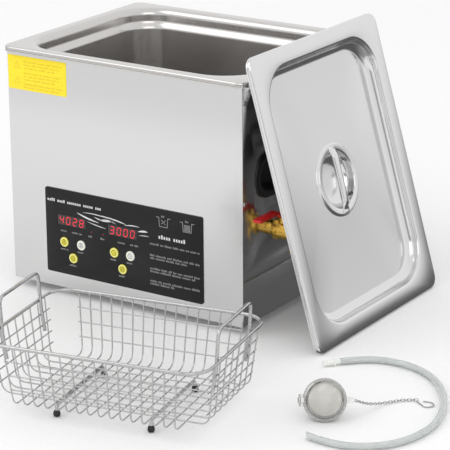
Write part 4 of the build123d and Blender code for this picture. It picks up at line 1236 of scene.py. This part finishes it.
class CLEANER_OT_basket(bpy.types.Operator):
    """Make the welded wire basket with its rim, handles and capped feet"""

    bl_idname = "cleaner.basket"
    bl_label = "Basket"

    def execute(self, context):
        sizes = context.scene.cleaner_basket
        place = basket_place()
        wire = sizes.mesh_wire / MM
        half_l, half_w = BASKET_RIM[0] / 2, BASKET_RIM[1] / 2
        low_l, low_w = half_l - BASKET_TAPER, half_w - BASKET_TAPER
        top, low = BASKET_RIM_HEIGHT - 1.0, BASKET_FLOOR_HEIGHT
        cross, along = [], []
        span = half_l - 27.0
        for index in range(sizes.cross_wires):
            x = -span + 2 * span * index / (sizes.cross_wires - 1)
            foot_x = x * low_l / half_l
            cross.append([mm(x, -half_w, top), mm(foot_x, -low_w, low), mm(foot_x, low_w, low),
                          mm(x, half_w, top)])
        reach = half_w - 27.0
        for index in range(sizes.long_wires):
            y = -reach + 2 * reach * index / (sizes.long_wires - 1)
            foot_y = y * low_w / half_w
            along.append([mm(-half_l, y, top), mm(-low_l, foot_y, low + wire),
                          mm(low_l, foot_y, low + wire), mm(half_l, y, top)])
        level = []
        for height in (32.0, 47.5, 63.0):
            share = (height - low) / (top - low)
            out_w = low_w + (half_w - low_w) * share - wire * 0.8
            end_x = span * (low_l + (half_l - low_l) * share) / half_l + 2.0
            for side in (-1, 1):
                level.append([mm(-end_x, side * out_w, height), mm(end_x, side * out_w, height)])
        for height in (29.0, 41.0, 53.0, 65.0):
            share = (height - low) / (top - low)
            out_l = low_l + (half_l - low_l) * share - wire * 0.8
            end_y = reach * (low_w + (half_w - low_w) * share) / half_w + 6.0
            for side in (-1, 1):
                level.append([mm(side * out_l, -end_y, height), mm(side * out_l, end_y, height)])
        net = wires("basket_net", cross + along + level, sizes.mesh_wire, "basket_wire",
                    bend=0.010, matrix=place)
        belongs(net, "basket", "basket_wire", "basket_front_mesh", "basket_right_mesh",
                "basket_rear_mesh", "basket_left_mesh", "basket_floor_mesh")
        rim_line = rounded_loop(mm(*BASKET_RIM), 0.0, BASKET_RIM_HEIGHT * MM)
        rim = wires("basket_rim", [rim_line], sizes.rim_wire, "basket_wire", bend=0.0, sides=16,
                    matrix=place, closed=True)
        belongs(rim, "basket", "basket_wire", "basket_rim_wire")
        self.handles(sizes, place)
        self.feet(sizes, place)
        return {"FINISHED"}

    def handles(self, sizes, place):
        """Two bails welded inside the end walls."""
        half_l = BASKET_RIM[0] / 2
        low_x, high_x = half_l - BASKET_TAPER - 3.2, half_l + 3.6
        for side, name in ((-1, "left"), (1, "right")):
            points = [(low_x + 3.6, -42, 48), (high_x - 7.6, -42, 73), (high_x - 5, -42, 112),
                      (high_x - 5, 42, 112), (high_x - 7.6, 42, 73), (low_x + 3.6, 42, 48)]
            path = [mm(side * x, y, z) for x, y, z in points]
            handle = wires(f"basket_{name}_bail", [path], sizes.bar_wire, "basket_wire",
                           bend=0.008, sides=12, matrix=place)
            belongs(handle, "basket", "basket_wire", f"basket_{name}_handle")

    def feet(self, sizes, place):
        """Two rods under the floor, each with a rubber cap on both ends."""
        foot_x, foot_y = 51.5, 54.5
        rod_z = BASKET_FLOOR_HEIGHT - (sizes.bar_wire + sizes.mesh_wire) / MM / 2
        rods = []
        for x in (-foot_x, foot_x):
            rods.append([mm(x, -foot_y, 4), mm(x, -foot_y, rod_z), mm(x, foot_y, rod_z),
                         mm(x, foot_y, 4)])
        rod = wires("basket_rods", rods, sizes.bar_wire, "basket_wire", bend=0.0045, sides=12,
                    matrix=place)
        belongs(rod, "basket", "basket_wire", "basket_foot_rods")
        profile = [(0.0, 0.1), (1.8, 0.15), (2.9, 0.7), (3.6, 1.8), (3.75, 3.2), (3.5, 4.8),
                   (2.9, 6.2), (2.3, 6.9), (2.0, 7.0), (2.0, 5.0), (0.0, 5.0)]
        points = [(radius * MM, height * MM) for radius, height in profile]
        made = []
        for x in (-foot_x, foot_x):
            for y in (-foot_y, foot_y):
                spot = place @ Matrix.Translation(mm(x, y, 0))
                made.append(lathe("cap", points, "rubber", 24, spot))
        belongs(joined("basket_caps", made, "rubber"), "basket", "rubber", "basket_foot_caps")


def joined(name, things, finish_name):
    """One piece from several finished meshes."""
    builder = bmesh.new()
    for thing in things:
        builder.from_mesh(thing.data)
        bpy.data.objects.remove(thing)
    mesh = built(builder, name)
    return soften(piece(name, mesh, finish_name))


# ---- mesh ball -------------------------------------------------------------------------------
class CLEANER_OT_ball(bpy.types.Operator):
    """Make the two halves of the mesh ball with their rings, hinge and clasp"""

    bl_idname = "cleaner.ball"
    bl_label = "Mesh ball"

    def execute(self, context):
        sizes = context.scene.cleaner_ball
        flip = Matrix.Diagonal((1, 1, -1, 1))
        for name, body, node, matrix in (
                ("ball_front", "strainer_door", "strainer_front_half", ball_place()),
                ("ball_rear", "strainer", "strainer_rear_half", ball_place() @ flip)):
            dome = self.dome(name + "_net", sizes)
            move_into(dome, matrix)
            if body == "strainer":
                dome.data.flip_normals()
            belongs(dome, body, "ball_steel", node)
            band = self.band(name + "_band", sizes)
            fittings = self.door_fittings() if body == "strainer_door" else self.rear_fittings()
            whole = joined(name + "_ring", [band] + fittings, "ball_steel")
            if body == "strainer":
                whole.data.transform(ball_place() @ flip)
                whole.data.flip_normals()
            else:
                whole.data.transform(ball_place())
            belongs(whole, body, "ball_steel")
        return {"FINISHED"}

    def dome(self, name, sizes):
        """Pressed woven net that starts under the edge of the band."""
        mesh = bpy.data.meshes.new(name)
        mesh.from_pydata([(0, 0, 0)], [], [])
        thing = piece(name, mesh, "ball_steel")
        grow(thing, mesh_dome_tree(), Dome_radius=sizes.dome_radius - 0.0005,
             Net_radius=sizes.dome_radius * radians(66), Wires_across=sizes.net_wires,
             Wire_diameter=0.00034, Material=FINISHES["net_steel"])
        return thing

    def band(self, name, sizes):
        """Flat ring with a rolled edge that rises into a band round the dome."""
        radius = sizes.dome_radius / MM
        outer = [(21.2, 0.15), (21.9, 0.5), (21.95, 0.9), (21.5, 1.35), (20.4, 1.5)]
        climb = [(radius + 0.1) * Vector((cos(radians(a)), sin(radians(a)))) for a in
                 (7, 12, 17, 22, 26, 28)]
        back = [(radius - 0.35) * Vector((cos(radians(a)), sin(radians(a)))) for a in
                (28, 24, 18, 12, 6, 1)]
        profile = outer + [tuple(p) for p in climb] + [tuple(p) for p in back]
        return lathe(name, [(r * MM, z * MM) for r, z in profile], "ball_steel", 56)

    def door_fittings(self):
        """Hinge tongue and its rolled knuckle, on the front half."""
        tongue = plate("tongue", (-24.2, -20.6), (-2.4, 2.4), (0.35, 1.45), 0.3)
        hole = [(0.95, -2.5), (1.9, -2.5), (1.9, 2.5), (0.95, 2.5)]
        knuckle = lathe("knuckle", [(r * MM, z * MM) for r, z in hole], "ball_steel", 20,
                        Matrix.Translation(mm(-25, 0, 0)) @ Matrix.Rotation(pi / 2, 4, "X"))
        return [tongue, knuckle]

    def rear_fittings(self):
        """Hinge ears, pin and the clasp lug, on the rear half (its Z is turned over)."""
        ears = [plate("ear", (-25.9, -20.6), (y - 1.5, y + 1.5), (0.1, 1.5), 0.3)
                for y in (-4.6, 4.6)]
        pin = lathe("pin", [(0.0, -0.006), (0.0009, -0.006), (0.0009, 0.006), (0.0, 0.006)],
                    "ball_steel", 16,
                    Matrix.Translation(mm(-25, 0, 0)) @ Matrix.Rotation(pi / 2, 4, "X"))
        return ears + [pin, self.lug()]

    def lug(self):
        """Clasp lug with the round hole that takes the chain."""
        builder = bmesh.new()
        outline = [(20.6, -3.4), (25.0, -3.0), (27.5, -2.6)]
        outline += [(27.4 + 2.6 * cos(a), 2.6 * sin(a)) for a in
                    [radians(d) for d in range(-70, 71, 20)]]
        outline += [(27.5, 2.6), (25.0, 3.0), (20.6, 3.4)]
        hole = [(27.2 + 1.2 * cos(2 * pi * i / 16), 1.2 * sin(2 * pi * i / 16)) for i in range(16)]
        rims = []
        for points in (outline, hole):
            row = [builder.verts.new((x * MM, y * MM, 0.0016)) for x, y in points]
            rims += [builder.edges.new((row[i - 1], row[i])) for i in range(len(row))]
        bmesh.ops.triangle_fill(builder, use_beauty=True, edges=rims)
        for face in builder.faces:
            face.normal_update()
            if face.normal.z < 0:
                face.normal_flip()
        return thicken(piece("lug", built(builder, "lug"), "ball_steel"), 0.0011)


def plate(name, span_x, span_y, span_z, edge):
    """Small bevelled block between two corners in millimetres."""
    builder = bmesh.new()
    corners = [builder.verts.new(mm(x, y, z)) for x in span_x for y in span_y for z in span_z]
    for face in ((0, 1, 3, 2), (4, 6, 7, 5), (0, 4, 5, 1),
                 (2, 3, 7, 6), (0, 2, 6, 4), (1, 5, 7, 3)):
        builder.faces.new([corners[i] for i in face])
    bmesh.ops.bevel(builder, geom=builder.edges[:], offset=edge * MM, segments=2, affect="EDGES",
                    clamp_overlap=True)
    bmesh.ops.recalc_face_normals(builder, faces=builder.faces)
    return piece(name, built(builder, name), "ball_steel")


# ---- stage -----------------------------------------------------------------------------------
FLOOR_SPLIT = -0.133                     # metal mirrors only the floor in front of this
FLAG_WAY = (0.61, -0.79, 0.0)            # where the dark flag stands


class CLEANER_OT_stage(bpy.types.Operator):
    """Set up the pale floor and the soft studio light"""

    bl_idname = "cleaner.stage"
    bl_label = "Floor and light"

    def execute(self, context):
        paper = finish("matt_white_paper", "#f6f6f6", Roughness=0.9)
        grain(paper, 3.0, (1, 1, 1), ("#f4f4f4", "#f8f8f8"), (0.85, 0.95))
        self.floor("floor", FLOOR_SPLIT, 20.0, paper).visible_glossy = False
        self.floor("floor_front", -20.0, FLOOR_SPLIT, paper)
        self.surroundings(context.scene)
        self.softbox("key_softbox", (-1.4, -1.8, 2.4), (0.1, -0.1, 0.1), 2.2, 17.0)
        self.softbox("fill_softbox", (1.8, -2.2, 1.6), (0.2, -0.2, 0.1), 1.8, 10.0)
        context.scene.view_settings.view_transform = "Standard"
        return {"FINISHED"}

    def floor(self, name, start, end, paper):
        """Strip of matt white paper across the whole studio, from one Y to another."""
        mesh = bpy.data.meshes.new(name)
        mesh.from_pydata([(-20.0, start, 0.0), (20.0, start, 0.0), (20.0, end, 0.0),
                          (-20.0, end, 0.0)], [], [(0, 1, 2, 3)])
        mesh.materials.append(paper)
        floor = bpy.data.objects.new(name, mesh)
        bpy.context.scene.collection.objects.link(floor)
        return floor

    def softbox(self, name, place, target, size, power):
        """Square area light that looks at a point."""
        data = bpy.data.lights.new(name, "AREA")
        data.size = size
        data.energy = power
        lamp = bpy.data.objects.new(name, data)
        lamp.location = place
        way = Vector(target) - Vector(place)
        lamp.rotation_euler = way.to_track_quat("-Z", "Y").to_euler()
        bpy.context.scene.collection.objects.link(lamp)

    def surroundings(self, scene):
        """White studio with a dim floor line, a darker wall behind and a black flag in front."""
        world = bpy.data.worlds.new("studio")
        world.use_nodes = True
        scene.world = world
        tree = world.node_tree
        back = tree.nodes["Background"]
        back.inputs["Color"].default_value = (1.0, 1.0, 1.0, 1.0)
        way = add(tree, "ShaderNodeTexCoord").outputs["Generated"]
        parts = add(tree, "ShaderNodeSeparateXYZ", links={"Vector": way})

        def ramp(source, low, high, start, end):
            return add(tree, "ShaderNodeMapRange", {
                "From Min": low, "From Max": high, "To Min": start, "To Max": end},
                {"Value": source}, interpolation_type="SMOOTHSTEP").outputs["Result"]

        share = ramp(parts.outputs["Y"], -0.4, 0.4, 0.0, 1.0)
        front = ramp(parts.outputs["Z"], -0.40, -0.28, 0.35, 0.92)
        rear = ramp(parts.outputs["Z"], -0.12, 0.05, 0.12, 1.0)
        level = add(tree, "ShaderNodeMix", links={"Factor": share, "A": front, "B": rear},
                    data_type="FLOAT").outputs["Result"]
        aim = add(tree, "ShaderNodeVectorMath", {1: FLAG_WAY}, {0: way}, operation="DOT_PRODUCT")
        flag = ramp(aim.outputs["Value"], 0.965, 0.985, 1.0, 0.3)
        total = add(tree, "ShaderNodeMath", links={0: level, 1: flag}, operation="MULTIPLY")
        tree.links.new(total.outputs["Value"], back.inputs["Strength"])


# ---- panel and registration ------------------------------------------------------------------
STEPS = (
    "camera", "hose", "chain", "tank", "lid", "frame_parts", "screws", "front_print", "basket",
    "ball", "stage",
)


class CLEANER_PT_panel(bpy.types.Panel):
    """Sizes, colours and pieces of the ultrasonic cleaner"""

    bl_label = "Ultrasonic cleaner"
    bl_space_type = "VIEW_3D"
    bl_region_type = "UI"
    bl_category = "Cleaner"

    def draw(self, context):
        for group in GROUPS:
            owner = getattr(context.scene, group)
            for key in owner.bl_rna.properties.keys():
                if key not in ("rna_type", "name"):
                    self.layout.prop(owner, key)
        for step in STEPS:
            self.layout.operator("cleaner." + step)


GROUPS = {
    "cleaner_sheet": CleanerSheet, "cleaner_basket": CleanerBasket, "cleaner_ball": CleanerBall,
    "cleaner_colours": CleanerColours,
}
CLASSES = (
    *GROUPS.values(), CLEANER_OT_camera, CLEANER_OT_hose, CLEANER_OT_chain, CLEANER_OT_tank,
    CLEANER_OT_lid, CLEANER_OT_frame_parts, CLEANER_OT_screws, CLEANER_OT_front_print,
    CLEANER_OT_basket, CLEANER_OT_ball, CLEANER_OT_stage, CLEANER_PT_panel,
)


def register():
    """Register the classes and the scene's property groups."""
    for item in CLASSES:
        bpy.utils.register_class(item)
    for key, group in GROUPS.items():
        setattr(bpy.types.Scene, key, PointerProperty(type=group))


def unregister():
    """Take the classes and property groups away again."""
    for key in GROUPS:
        delattr(bpy.types.Scene, key)
    for item in reversed(CLASSES):
        bpy.utils.unregister_class(item)


def main():
    """Build every piece in order."""
    register()
    make_finishes(bpy.context.scene.cleaner_colours)
    for step in STEPS:
        getattr(bpy.ops.cleaner, step)()


if __name__ == "__main__":
    main()
